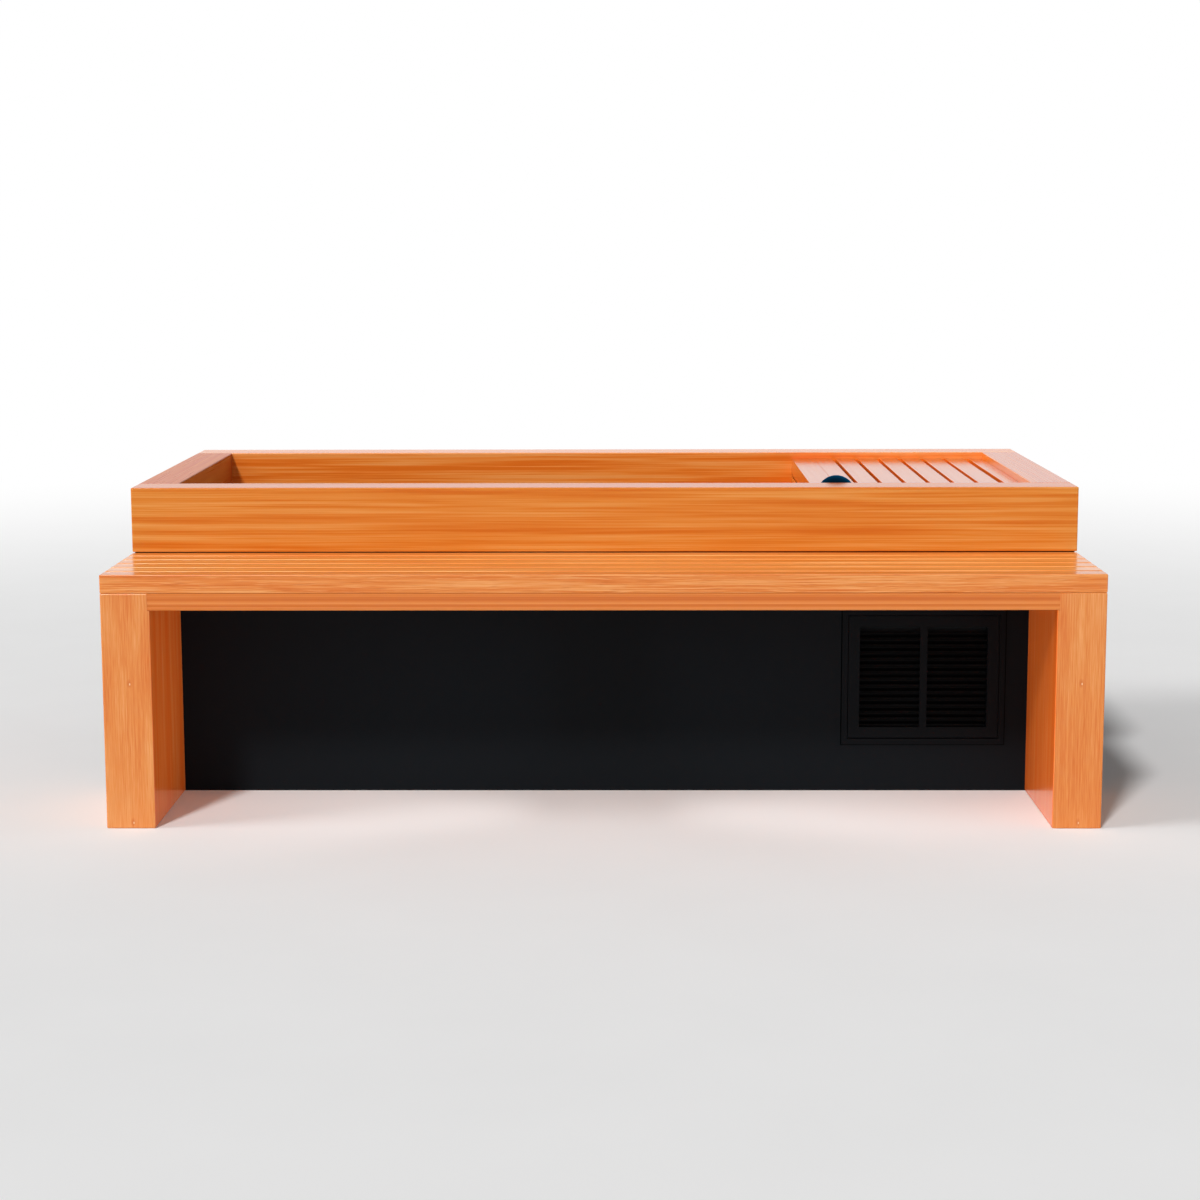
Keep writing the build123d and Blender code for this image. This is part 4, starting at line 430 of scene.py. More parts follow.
# Steel pins, blackened with oxide: dark, with a dull oily gloss
BLACK_OXIDE = SurfaceFinish("black_oxide_steel", "#0C0D0E", "#08090A", size_mm=0.8, roughness=(0.5, 0.6),
                            specular=0.1, relief_mm=0.01)
# Phenolic, moulded and polished: black, with a blue sheen where it turns away, a painted reflection
KNOB = SurfaceFinish("black_phenolic_painted_blue_reflection", "#040D15", "#030910", size_mm=0.4, roughness=(0.35, 0.45),
                     specular=0.0, relief_mm=0.004, sheen=0.85, sheen_tint="#087CB8")
# Stainless sheet, brushed lengthwise: pale grey with fine drawn lines
STAINLESS = SurfaceFinish("brushed_stainless_steel", "#C2C3C4", "#A9ABAD", Pattern.BRUSHED, 0.6,
                          (0.02, 1.0, 1.0), 1.0, (0.34, 0.46), relief_mm=0.01)
# Brass bar, turned: yellow with faint tool lines
BRASS = SurfaceFinish("turned_brass", "#D9B45E", "#C19A45", Pattern.BRUSHED, 0.4, (1.0, 1.0, 0.2), 1.0,
                      (0.2, 0.32), relief_mm=0.01)
# ABS, moulded grey: even, with a spark-eroded tooth
GREY_PLASTIC = SurfaceFinish("grey_moulded_abs", "#8E9195", "#83868A", size_mm=0.5, roughness=(0.42, 0.5),
                             ior=1.53)
# Steel tube, painted dark grey: slight orange peel
FRAME_PAINT = SurfaceFinish("grey_painted_steel", "#4B4F53", "#43474B", size_mm=2.5, roughness=(0.35, 0.45),
                            relief_mm=0.05)
# Extruded polystyrene board: pale blue, with closed cells
FOAM = SurfaceFinish("blue_polystyrene_foam", "#A9C6D6", "#94B5C8", Pattern.CELLULAR, 1.8,
                     roughness=(0.8, 0.95), specular=0.3, relief_mm=0.2)
# Polyester wadding: grey, matted fibres
WADDING = SurfaceFinish("grey_polyester_wadding", "#34373A", "#191B1D", Pattern.FIBROUS, 1.6,
                        roughness=(0.85, 1.0), specular=0.2, relief_mm=0.6)
# Zinc-plated steel: bright grey with a faint yellow cast
ZINC = SurfaceFinish("zinc_plated_steel", "#BFC0BB", "#A4A6A3", size_mm=1.2, metallic=1.0,
                     roughness=(0.28, 0.42), relief_mm=0.01)
# Nylon, moulded black: dull
BLACK_NYLON = SurfaceFinish("black_moulded_nylon", "#1B1C1E", "#131415", size_mm=0.6, roughness=(0.5, 0.62),
                            ior=1.53)
# Galvanised sheet: pale grey with flat zinc crystals
GALVANISED = SurfaceFinish("galvanised_steel_sheet", "#B4B8BA", "#8E9396", Pattern.SPANGLED, 9.0,
                           metallic=1.0, roughness=(0.35, 0.5), relief_mm=0.01)
# Aluminium fin stock, rolled: pale and thin, with lines along the rolling
FINS = SurfaceFinish("rolled_aluminium_fin", "#C9CCCE", "#AEB2B5", Pattern.BRUSHED, 0.8, (1.0, 1.0, 0.05), 1.0,
                     (0.3, 0.45), relief_mm=0.02)
# Glass-filled polypropylene: black, slightly streaked by the flow
FAN_PLASTIC = SurfaceFinish("black_glass_filled_polypropylene", "#202225", "#17181A", Pattern.FIBROUS, 2.5,
                            roughness=(0.4, 0.55))
# Compressor shell: stoved black paint on pressed steel, fairly glossy
COMPRESSOR = SurfaceFinish("stoved_black_paint", "#141517", "#0E0F10", size_mm=3.5, roughness=(0.22, 0.32),
                           relief_mm=0.08)
# Nitrile foam jacket: black, with small closed cells
JACKET = SurfaceFinish("nitrile_foam_jacket", "#26282A", "#191A1C", Pattern.CELLULAR, 1.2,
                       roughness=(0.75, 0.9), specular=0.3, relief_mm=0.15)
# Copper tube, drawn: warm, with darker tarnish
COPPER = SurfaceFinish("drawn_copper", "#D98A66", "#B0684A", size_mm=6.0, metallic=1.0,
                       roughness=(0.25, 0.4), relief_mm=0.01)
# Pump body: glass-filled nylon, dark grey
PUMP = SurfaceFinish("grey_glass_filled_nylon", "#3A3F45", "#2E3237", Pattern.FIBROUS, 2.0,
                     roughness=(0.4, 0.52))
# PVC pipe, extruded white: smooth, slightly cool
PVC = SurfaceFinish("white_extruded_pvc", "#DADDDF", "#CFD3D6", Pattern.BRUSHED, 1.2, (0.4, 0.4, 0.4),
                    roughness=(0.28, 0.4), ior=1.54, relief_mm=0.02)
# Spun polyester filter paper: off-white, felted
PAPER = SurfaceFinish("spun_polyester_paper", "#E4E7E8", "#CBD3D8", Pattern.FIBROUS, 0.9,
                      roughness=(0.8, 0.95), specular=0.2, relief_mm=0.15)
# Dipped vinyl on the drain lever: red, soft gloss
VINYL = SurfaceFinish("red_dipped_vinyl", "#B5231B", "#A01C15", size_mm=1.4, roughness=(0.35, 0.45),
                      ior=1.52)


# Meshes that follow a rule

class RuledMesh:
    """A mesh that Geometry Nodes grow from named sizes."""

    def __init__(self, name: str, sizes: Mapping[str, float]) -> None:
        """Starts the tree and gives it an input for each size.

        Args:
            name: the piece's name.
            sizes: the input names and their values, in metres or as counts.
        """
        self.name = name
        self.sizes = dict(sizes)
        self.tree = bpy.data.node_groups.new(f"{name}_rule", "GeometryNodeTree")
        for label, value in self.sizes.items():
            kind = "NodeSocketInt" if isinstance(value, int) else "NodeSocketFloat"
            self.tree.interface.new_socket(name=label, in_out="INPUT", socket_type=kind)
        self.tree.interface.new_socket(name="Geometry", in_out="OUTPUT", socket_type="NodeSocketGeometry")
        self.size = self.add("NodeGroupInput").outputs

    def add(self, kind: str, inputs: Optional[Mapping[Any, Any]] = None, **settings: Any) -> bpy.types.Node:
        """Adds a node to this tree, as add_node does."""
        return add_node(self.tree, kind, inputs, **settings)

    def vector(self, x: Any = 0.0, y: Any = 0.0, z: Any = 0.0) -> bpy.types.Node:
        """Joins three numbers or sockets to a vector."""
        return self.add("ShaderNodeCombineXYZ", {0: x, 1: y, 2: z})

    def sum(self, first: Any, second: Any) -> bpy.types.Node:
        """Adds two numbers or sockets."""
        return self.add("ShaderNodeMath", {0: first, 1: second}, operation="ADD")

    def drawn_out(self, outline: Any, length: Any) -> bpy.types.Node:
        """Fills a closed outline and draws it out along +Z to a closed solid.

        Args:
            outline: the closed curve in the XY plane.
            length: how far it is drawn out.

        Returns:
            The node that gives the solid.
        """
        face = self.add("GeometryNodeFillCurve", {"Curve": outline}, mode="NGONS")
        pulled = self.add("GeometryNodeExtrudeMesh", {"Mesh": face, "Offset": (0.0, 0.0, 1.0),
                                                      "Offset Scale": length, "Individual": False})
        under = self.add("GeometryNodeFlipFaces", {"Mesh": face})
        both = self.add("GeometryNodeJoinGeometry")
        for part in (pulled.outputs["Mesh"], under.outputs["Mesh"]):
            self.tree.links.new(part, both.inputs["Geometry"])
        return self.add("GeometryNodeMergeByDistance", {"Geometry": both, "Distance": 0.01 * MM})

    def joined(self, parts: Iterable[Any]) -> bpy.types.Node:
        """Joins several geometries.

        Args:
            parts: the nodes that give them.

        Returns:
            The joining node.
        """
        both = self.add("GeometryNodeJoinGeometry")
        for part in parts:
            socket = next(s for s in part.outputs if s.enabled) if isinstance(part, bpy.types.Node) else part
            self.tree.links.new(socket, both.inputs["Geometry"])
        return both

    def grow(self, geometry: Any, material: bpy.types.Material, smooth: bool = False,
             second: Optional[tuple[Any, bpy.types.Material]] = None) -> bpy.types.Object:
        """Ends the tree, evaluates it and keeps the result as a plain mesh.

        Args:
            geometry: the node or socket that gives the geometry.
            material: the finish that the tree sets.
            smooth: whether the faces are shaded smooth.
            second: the faces that take a second finish, as a field, and that finish.

        Returns:
            The piece, at the origin, with its place in its mesh.
        """
        real = self.add("GeometryNodeRealizeInstances", {"Geometry": geometry})
        shaded = self.add("GeometryNodeSetShadeSmooth", {"Geometry": real, "Shade Smooth": smooth})
        finished = self.add("GeometryNodeSetMaterial", {"Geometry": shaded, "Material": material})
        if second:
            finished = self.add("GeometryNodeSetMaterial",
                                {"Geometry": finished, "Selection": second[0], "Material": second[1]})
        self.add("NodeGroupOutput", {"Geometry": finished})
        piece = bpy.data.objects.new(self.name, bpy.data.meshes.new(self.name))
        bpy.context.scene.collection.objects.link(piece)
        rule = piece.modifiers.new("rule", "NODES")
        rule.node_group = self.tree
        for socket in self.tree.interface.items_tree:
            if socket.in_out == "INPUT":
                rule[socket.identifier] = self.sizes[socket.name]
        bpy.context.view_layer.update()
        scene_now = bpy.context.evaluated_depsgraph_get()
        mesh = bpy.data.meshes.new_from_object(piece.evaluated_get(scene_now), depsgraph=scene_now)
        piece.modifiers.remove(rule)
        piece.data = mesh
        if not mesh.materials:
            mesh.materials.append(material)
        mesh.name = self.name
        return piece


def seat(piece: bpy.types.Object, body: str, replaces: Sequence[str] = ()) -> bpy.types.Object:
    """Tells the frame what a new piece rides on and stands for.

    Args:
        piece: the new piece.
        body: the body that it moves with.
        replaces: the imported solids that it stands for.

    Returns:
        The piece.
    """
    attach(piece, body)
    if replaces:
        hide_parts(*replaces)
    return piece


# Sub-assemblies

@dataclass
class Collar:
    """The thick cedar rim: two long rails with the end rails between them."""

    band_mm: float = 15.0
    end_band_mm: float = 12.0

    def build(self) -> list[bpy.types.Object]:
        """Dresses the four rails, each with its own grain and tone; three take painted light and the left one painted
        shade.
        """
        # Painted light: the front rail's top face takes a redder tint of its own
        front = CedarFinish("coated_cedar_front_rail", Grain.ALONG_X, 0.31, deep="#CF6D17", middle="#D8832D",
                            pale="#DF9A4D", band_mm=self.band_mm, specular=0.2,
                            painted_light_side=(0.0, 0.0, 1.0), painted_light_tint="#DC6A27", painted_light_share=1.0)
        # Painted light: the back rail is drawn brighter, for the wall inside the tub that gets less light
        back = CedarFinish("coated_cedar_back_rail_painted_light", Grain.ALONG_X, 1.47, deep="#E66E1A", middle="#F08530",
                           pale="#F49A4E", band_mm=self.band_mm, spread=0.085)
        # Painted shade: the left rail is drawn darker, for the duller reflection on that side
        left = CedarFinish("coated_cedar_left_rail_painted_shade", Grain.ALONG_Y, 2.93, deep="#C85614", middle="#CC6422",
                           pale="#D67A38", band_mm=self.end_band_mm, roughness=(0.27, 0.31), specular=0.1)
        # Painted light: the right rail's inner face takes a brighter tint
        right = CedarFinish("coated_cedar_right_rail", Grain.ALONG_Y, 4.21, deep="#D05E20", middle="#D8692B",
                            pale="#DE7A3A", band_mm=self.end_band_mm, spread=0.17, specular=0.6,
                            painted_light_side=(-1.0, 0.0, 0.0), painted_light_tint="#EE8C2C", painted_light_share=1.0)
        return [dress("collar_front_rail", front.build()), dress("collar_back_rail", back.build()),
                dress("collar_left_rail", left.build()), dress("collar_right_rail", right.build())]


@dataclass
class DeckPanel:
    """The lift-off deck: six slats and an end board on two battens, screwed from below."""

    slat_count: int = 6
    slat_width: float = 47.5 * MM
    slat_gap: float = 9.3 * MM
    end_width: float = 36.5 * MM
    edge_round: float = 1.5 * MM
    screw_radius: float = 4.0 * MM
    screw_head: float = 1.2 * MM
    seed: int = 7

    def board(self, rule: RuledMesh, width: Any) -> bpy.types.Node:
        """Draws one board along +Y from the origin, its left edge on X 0 and its top on Z 0.

        Args:
            rule: the tree that gets the nodes.
            width: the board's width.

        Returns:
            The node that gives the board.
        """
        size = rule.size
        outline = rule.add("GeometryNodeCurvePrimitiveQuadrilateral", {"Width": width, "Height": size["Thickness"]})
        rounded = rule.add("GeometryNodeFilletCurve", {"Curve": outline, "Radius": size["Round"], "Count": 3},
                           mode="POLY")
        solid = rule.drawn_out(rounded, size["Length"])
        half = rule.add("ShaderNodeMath", {0: width, 1: 0.5}, operation="MULTIPLY")
        sunk = rule.add("ShaderNodeMath", {0: size["Thickness"], 1: -0.5}, operation="MULTIPLY")
        return rule.add("GeometryNodeTransform",
                        {"Geometry": solid, "Translation": rule.vector(half, 0.0, sunk),
                         "Rotation": (-HALF_TURN / 2, 0.0, 0.0)})

    def slats(self) -> bpy.types.Object:
        """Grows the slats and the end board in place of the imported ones."""
        low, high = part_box("deck_slats")
        rule = RuledMesh("deck_boards", {
            "Count": self.slat_count, "Pitch": self.slat_width + self.slat_gap, "Width": self.slat_width,
            "End Width": self.end_width, "Length": high.y - low.y, "Thickness": high.z - low.z,
            "Round": self.edge_round, "Left": low.x, "Front": low.y, "Top": high.z,
            "End Left": high.x - self.end_width, "Seed": self.seed})
        size = rule.size
        row = rule.add("GeometryNodeMeshLine",
                       {"Count": size["Count"], "Start Location": rule.vector(size["Left"], size["Front"], size["Top"]),
                        "Offset": rule.vector(size["Pitch"])}, mode="OFFSET")
        last = rule.add("GeometryNodeMeshLine",
                        {"Count": 1, "Start Location": rule.vector(size["End Left"], size["Front"], size["Top"])},
                        mode="OFFSET")
        sets = [rule.add("GeometryNodeInstanceOnPoints", {"Points": row, "Instance": self.board(rule, size["Width"])}),
                rule.add("GeometryNodeInstanceOnPoints",
                         {"Points": last, "Instance": self.board(rule, size["End Width"])})]
        boards = rule.joined(sets)
        choice = rule.add("FunctionNodeRandomValue", {"Min": 0.0, "Max": 9.0, "Seed": size["Seed"]},
                          data_type="FLOAT")
        value = next(s for s in choice.outputs if s.enabled)
        marked = rule.add("GeometryNodeStoreNamedAttribute", {"Geometry": boards, "Name": "board"},
                          data_type="FLOAT", domain="INSTANCE")
        target = next(s for s in marked.inputs if s.name == "Value" and s.enabled)
        rule.tree.links.new(value, target)
        # Painted light: the slats' side faces take a bright orange tint, standing in for light in the gaps
        finish = CedarFinish("coated_cedar_deck_slats", Grain.ALONG_Y, 5.57, deep="#D05E18", middle="#D8681F",
                             pale="#E07A30", band_mm=9.0, line_mm=2.2, roughness=(0.14, 0.18),
                             board_step=0.37, specular=1.0, painted_light_side=(-1.0, 0.0, 0.0),
                             painted_light_tint="#FF7E1C", painted_light_share=1.0, both_sides=True)
        piece = rule.grow(marked, finish.build())
        return seat(piece, "deck_panel", ["deck_slats"])

    def screws(self) -> bpy.types.Object:
        """Grows the screw heads under the battens, two to a board."""
        low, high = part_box("deck_battens")
        boards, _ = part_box("deck_slats")
        rule = RuledMesh("deck_screws", {
            "Count": self.slat_count, "Pitch": self.slat_width + self.slat_gap,
            "Left": boards.x + self.slat_width / 2, "Front": low.y + 20 * MM, "Back": high.y - 20 * MM,
            "Under": low.z, "Radius": self.screw_radius, "Head": self.screw_head})
        size = rule.size
        head = rule.add("GeometryNodeMeshCone", {"Vertices": 14, "Radius Top": size["Radius"], "Depth": size["Head"],
                                                 "Radius Bottom": 0.75 * self.screw_radius})
        base = rule.add("ShaderNodeMath", {0: size["Under"], 1: size["Head"]}, operation="SUBTRACT")
        rows = [rule.add("GeometryNodeMeshLine",
                         {"Count": size["Count"], "Start Location": rule.vector(size["Left"], size[side], base),
                          "Offset": rule.vector(size["Pitch"])}, mode="OFFSET") for side in ("Front", "Back")]
        heads = rule.add("GeometryNodeInstanceOnPoints", {"Points": rule.joined(rows), "Instance": head})
        return seat(rule.grow(heads, ZINC.build()), "deck_panel")

    def build(self) -> list[bpy.types.Object]:
        """Grows the boards and screws and dresses the battens."""
        batten = CedarFinish("planed_cedar_battens", Grain.ALONG_X, 6.1, roughness=(0.45, 0.6))
        return [self.slats(), self.screws(), dress("deck_battens", batten.build())]


@dataclass
class ControlShelf:
    """The two planks beside the plunge, the bulkhead below them and the ledgers that carry the deck."""

    band_mm: float = 9.0
    gloss: tuple[float, float] = (0.14, 0.18)

    def build(self) -> list[bpy.types.Object]:
        """Dresses the shelf's boards."""
        # Painted light: the outer plank's left face takes a brighter tint
        outer = CedarFinish("coated_cedar_outer_plank", Grain.ALONG_Y, 7.3, deep="#D05E18", middle="#D8681F",
                            pale="#E07A30", band_mm=self.band_mm, line_mm=2.4, roughness=self.gloss,
                            specular=1.0, painted_light_side=(-1.0, 0.0, 0.0), painted_light_tint="#E4782C", painted_light_share=1.0)
        inner = CedarFinish("coated_cedar_inner_plank", Grain.ALONG_Y, 8.9, deep="#D05E18", middle="#D8681F",
                            pale="#E07A30", band_mm=self.band_mm, line_mm=2.4, roughness=self.gloss,
                            specular=1.0)
        # Painted light: the bulkhead is drawn brighter, for the light it lacks
        bulkhead = CedarFinish("coated_cedar_bulkhead_painted_light", Grain.ALONG_Y, 9.4, deep="#DE7018", middle="#E88630",
                               pale="#ED9C4C", band_mm=self.band_mm)
        ledgers = CedarFinish("planed_cedar_ledgers", Grain.ALONG_X, 10.2, roughness=(0.45, 0.6))
        return [dress("shelf_outer_plank", outer.build()), dress("shelf_inner_plank", inner.build()),
                dress("bulkhead_board", bulkhead.build()), dress("deck_ledgers", ledgers.build())]


@dataclass
class KnobAndValve:
    """The domed knob, its spindle and the diverter valve under the shelf."""

    def build(self) -> list[bpy.types.Object]:
        """Dresses the knob and the valve."""
        return [dress("control_knob", KNOB.build()), dress("valve_spindle", BRASS.build()),
                dress("diverter_valve", GREY_PLASTIC.build())]


@dataclass
class Skirt:
    """The charcoal panels round the tub, screwed on at the back and the ends."""

    screw_pitch: float = 300.0 * MM
    edge_inset: float = 14.0 * MM
    head_radius: float = 4.5 * MM
    head_height: float = 2.4 * MM
    sides: tuple[str, ...] = ("skirt_back", "skirt_left", "skirt_right")

    def screws(self, side: str) -> bpy.types.Object:
        """Grows the button heads along the top and bottom edges of one panel.

        Args:
            side: the panel's name.

        Returns:
            The screws as one piece.
        """
        low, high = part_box(side)
        along_x = high.x - low.x > high.y - low.y
        start, end = (low.x, high.x) if along_x else (low.y, high.y)
        run = end - start - 2 * self.edge_inset
        count = round(run / self.screw_pitch) + 1
        face = high.y if along_x else (low.x if side.endswith("left") else high.x)
        rule = RuledMesh(f"{side}_screws", {
            "Count": count, "Pitch": run / (count - 1), "Start": start + self.edge_inset, "Face": face,
            "Low": low.z + 2 * self.edge_inset, "High": high.z - self.edge_inset,
            "Radius": self.head_radius, "Head": self.head_height})
        size = rule.size
        dome = rule.add("GeometryNodeMeshUVSphere", {"Segments": 16, "Rings": 8, "Radius": size["Radius"]})
        flat = rule.add("ShaderNodeMath", {0: size["Head"], 1: size["Radius"]}, operation="DIVIDE")
        squeeze = rule.vector(1.0, flat, 1.0) if along_x else rule.vector(flat, 1.0, 1.0)
        head = rule.add("GeometryNodeTransform", {"Geometry": dome, "Scale": squeeze})
        rows = []
        for height in ("Low", "High"):
            first = (rule.vector(size["Start"], size["Face"], size[height]) if along_x
                     else rule.vector(size["Face"], size["Start"], size[height]))
            step = rule.vector(size["Pitch"]) if along_x else rule.vector(0.0, size["Pitch"])
            rows.append(rule.add("GeometryNodeMeshLine", {"Count": size["Count"], "Start Location": first,
                                                          "Offset": step}, mode="OFFSET"))
        heads = rule.add("GeometryNodeInstanceOnPoints", {"Points": rule.joined(rows), "Instance": head})
        return seat(rule.grow(heads, BLACK_NYLON.build(), smooth=True), "tub")

    def build(self) -> list[bpy.types.Object]:
        """Dresses the panels and grows their screws."""
        panel = PANEL.build()
        dressed = [dress(name, panel) for name in ("skirt_front", *self.sides)]
        return dressed + [self.screws(side) for side in self.sides]


@dataclass
class AccessGrille:
    """The louvred door in the front panel, its frame, filter pad, pins and catches."""

    blade_count: int = 14
    nose_height: float = 3.3 * MM
    nose_depth: float = 1.6 * MM
    web_thickness: float = 1.57 * MM
    web_drop: float = 11.33 * MM
    door_rail: float = 25.5 * MM
    strip_width: float = 2.2 * MM
    strip_depth: float = 0.4 * MM

    def strip(self) -> bpy.types.Object:
        """Makes the thin black strip round the flange, bedded on the panel: a painted shadow for the gap there."""
        low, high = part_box("grille_frame")
        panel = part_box("skirt_front")[0].y
        mesh = bpy.data.meshes.new("flange_shadow_strip")
        rings = []
        for grow, depth in ((0.0, -self.strip_depth), (self.strip_width, -self.strip_depth),
                            (self.strip_width, self.strip_depth), (0.0, self.strip_depth)):
            rings.append([(x, panel + depth, z) for x, z in (
                (low.x - grow, low.z - grow), (high.x + grow, low.z - grow),
                (high.x + grow, high.z + grow), (low.x - grow, high.z + grow))])
        points = [point for ring in rings for point in ring]
        faces = [(4 * a + c, 4 * a + (c + 1) % 4, 4 * b + (c + 1) % 4, 4 * b + c)
                 for a, b in ((1, 0), (2, 1), (3, 2), (0, 3)) for c in range(4)]
        mesh.from_pydata(points, [], faces)
        # Painted shadow: the strip stands in for the shadow gap round the flange
        mesh.materials.append(FLANGE_SHADOW.build())
        piece = bpy.data.objects.new("flange_shadow_strip", mesh)
        bpy.context.scene.collection.objects.link(piece)
        return seat(piece, "tub")

    def blades(self) -> bpy.types.Object:
        """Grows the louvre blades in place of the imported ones: a rounded nose and a web sloping to the back."""
        low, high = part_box("louvre_blades")
        bottom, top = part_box("grille_door")
        pitch = (top.z - bottom.z - 2 * self.door_rail) / (self.blade_count + 1)
        first = bottom.z + self.door_rail + pitch + self.nose_height / 2
        rule = RuledMesh("louvre_slats", {
            "Count": self.blade_count, "Pitch": pitch, "First": first, "Left": low.x, "Length": high.x - low.x,
            "Front": low.y, "Depth": high.y - low.y, "Drop": self.web_drop, "Web": self.web_thickness,
            "Nose": self.nose_height, "Nose Depth": self.nose_depth})
        size = rule.size
        nose = rule.add("GeometryNodeCurvePrimitiveQuadrilateral", {"Width": size["Nose Depth"], "Height": size["Nose"]})
        nose = rule.add("GeometryNodeFilletCurve", {"Curve": nose, "Radius": 0.45 * MM, "Count": 3},
                        mode="POLY")
        half_depth = rule.add("ShaderNodeMath", {0: size["Nose Depth"], 1: 0.5}, operation="MULTIPLY")
        half_nose = rule.add("ShaderNodeMath", {0: size["Nose"], 1: -0.5}, operation="MULTIPLY")
        nose = rule.add("GeometryNodeTransform", {"Geometry": nose, "Translation": rule.vector(half_depth, half_nose)})
        fall = rule.add("ShaderNodeMath", {0: size["Drop"], 1: -1.0}, operation="MULTIPLY")
        under = rule.add("ShaderNodeMath", {0: fall, 1: size["Web"]}, operation="SUBTRACT")
        start = rule.add("ShaderNodeMath", {0: size["Web"], 1: -1.0}, operation="MULTIPLY")
        web = rule.add("GeometryNodeCurvePrimitiveQuadrilateral",
                       {"Point 1": rule.vector(0.3 * MM, start), "Point 2": rule.vector(size["Depth"], under),
                        "Point 3": rule.vector(size["Depth"], fall), "Point 4": rule.vector(0.3 * MM, -0.25 * MM)},
                       mode="POINTS")
        solids = rule.joined([rule.drawn_out(nose, size["Length"]), rule.drawn_out(web, size["Length"])])
        turned = rule.add("GeometryNodeTransform", {"Geometry": solids, "Rotation": (HALF_TURN / 2, 0.0, 0.0)})
        turned = rule.add("GeometryNodeTransform", {"Geometry": turned, "Rotation": (0.0, 0.0, HALF_TURN / 2)})
        row = rule.add("GeometryNodeMeshLine",
                       {"Count": size["Count"], "Start Location": rule.vector(size["Left"], size["Front"], size["First"]),
                        "Offset": rule.vector(0.0, 0.0, size["Pitch"])}, mode="OFFSET")
        blades = rule.add("GeometryNodeInstanceOnPoints", {"Points": row, "Instance": turned})
        place = rule.add("ShaderNodeSeparateXYZ", {0: rule.add("GeometryNodeInputPosition")})
        # Painted shade: the webs behind the noses take a darker finish for the shadow between the blades
        shaded_web = rule.add("FunctionNodeCompare",
                          {"A": place.outputs["Y"], "B": rule.sum(size["Front"], size["Nose Depth"])},
                          data_type="FLOAT", operation="GREATER_THAN")
        piece = rule.grow(blades, LOUVRE_NOSE.build(), second=(shaded_web, LOUVRE_WEB_PAINTED_SHADE.build()))
        return seat(piece, "access_door", ["louvre_blades"])

    def build(self) -> list[bpy.types.Object]:
        """Grows the blades and dresses the rest of the grille."""
        paint = GRILLE.build()
        return [self.blades(), self.strip(), dress("grille_frame", paint), dress("grille_door", paint),
                dress("filter_pad", WADDING.build()), dress("hinge_pins", BLACK_OXIDE.build()),
                dress("door_catches", BLACK_NYLON.build())]


@dataclass
class Bench:
    """The slatted seat, its apron and rails, and the two slab legs."""

    board_count: int = 6
    knot_heights: tuple[float, ...] = (316.5 * MM, 14.0 * MM)
    knot_offset: float = 1010.0 * MM
    right_knot_offset: float = 1016.5 * MM

    def boards(self) -> list[bpy.types.Object]:
        """Dresses the seat boards; the front one has the liveliest grain."""
        front = CedarFinish("coated_cedar_seat_board_1", Grain.ALONG_X, 11.7, deep="#D56C20", middle="#DF8236",
                            pale="#EAA05C", band_mm=7.0, band_length_mm=520.0, line_mm=2.6, line_length_mm=260.0,
                            wander_mm=3.5, wander_length_mm=260.0, fleck=0.5, weights=(0.42, 0.46, 0.12))
        others = [CedarFinish(f"coated_cedar_seat_board_{number}", Grain.ALONG_X, 11.7 + 1.31 * number,
                              deep="#E27C2B", middle="#EE9543", pale="#F5AE67", band_mm=10.0,
                              band_length_mm=420.0, line_mm=3.0, fleck=0.16, spread=0.13)
                  for number in range(2, self.board_count + 1)]
        return [dress(f"bench_slat_{number}", finish.build())
                for number, finish in enumerate([front, *others], start=1)]

    def legs(self) -> list[bpy.types.Object]:
        """Dresses the slab legs, upright grain with a pin knot or two on the front."""
        pieces = []
        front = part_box("left_leg")[0].y
        for side, offset, shift in (("left", -self.knot_offset, 21.3), ("right", self.right_knot_offset, 23.9)):
            knots = tuple((offset, front, height) for height in self.knot_heights)
            # Painted light: the inner faces take a redder tint, for the light bounced under the bench
            inward = (-math.copysign(1.0, offset), 0.0, 0.0)
            finish = CedarFinish(f"coated_cedar_{side}_leg", Grain.ALONG_Z, shift, deep="#D56E28",
                                 middle="#DF863E", pale="#E89E5C", band_mm=34.0, band_length_mm=230.0,
                                 line_mm=1.9, line_length_mm=240.0, fibre_mm=1.1, fibre_length_mm=40.0,
                                 spread=0.15, weights=(0.40, 0.28, 0.32), wander_mm=1.5, fleck=0.05,
                                 relief=0.04, knots=knots, painted_light_side=inward, painted_light_tint="#DE641C",
                                 painted_light_share=0.95)
            pieces.append(dress(f"{side}_leg", finish.build()))
        return pieces

    def build(self) -> list[bpy.types.Object]:
        """Dresses the whole bench."""
        apron = CedarFinish("coated_cedar_apron", Grain.ALONG_X, 31.0, deep="#CB641C", middle="#D67628",
                            pale="#DF8840", band_mm=8.0, band_length_mm=6000.0, line_mm=3.4,
                            line_length_mm=5000.0, wander_mm=0.2, wander_length_mm=900.0, spread=0.11)
        hidden = CedarFinish("planed_cedar_bench_rails", Grain.ALONG_X, 33.0, roughness=(0.4, 0.55))
        crossing = CedarFinish("planed_cedar_bench_battens", Grain.ALONG_Y, 35.0, roughness=(0.4, 0.55))
        return [*self.boards(), *self.legs(), dress("bench_apron", apron.build()),
                dress("bench_back_rail", hidden.build()), dress("bench_battens", crossing.build()),
                dress("bench_bolts", ZINC.build())]


@dataclass
class SteelFrame:
    """The painted tube frame inside the panels."""

    def build(self) -> list[bpy.types.Object]:
        """Dresses the frame."""
        paint = FRAME_PAINT.build()
        return [dress(name, paint) for name in ("frame_long_rails", "frame_crossbars", "frame_posts")]


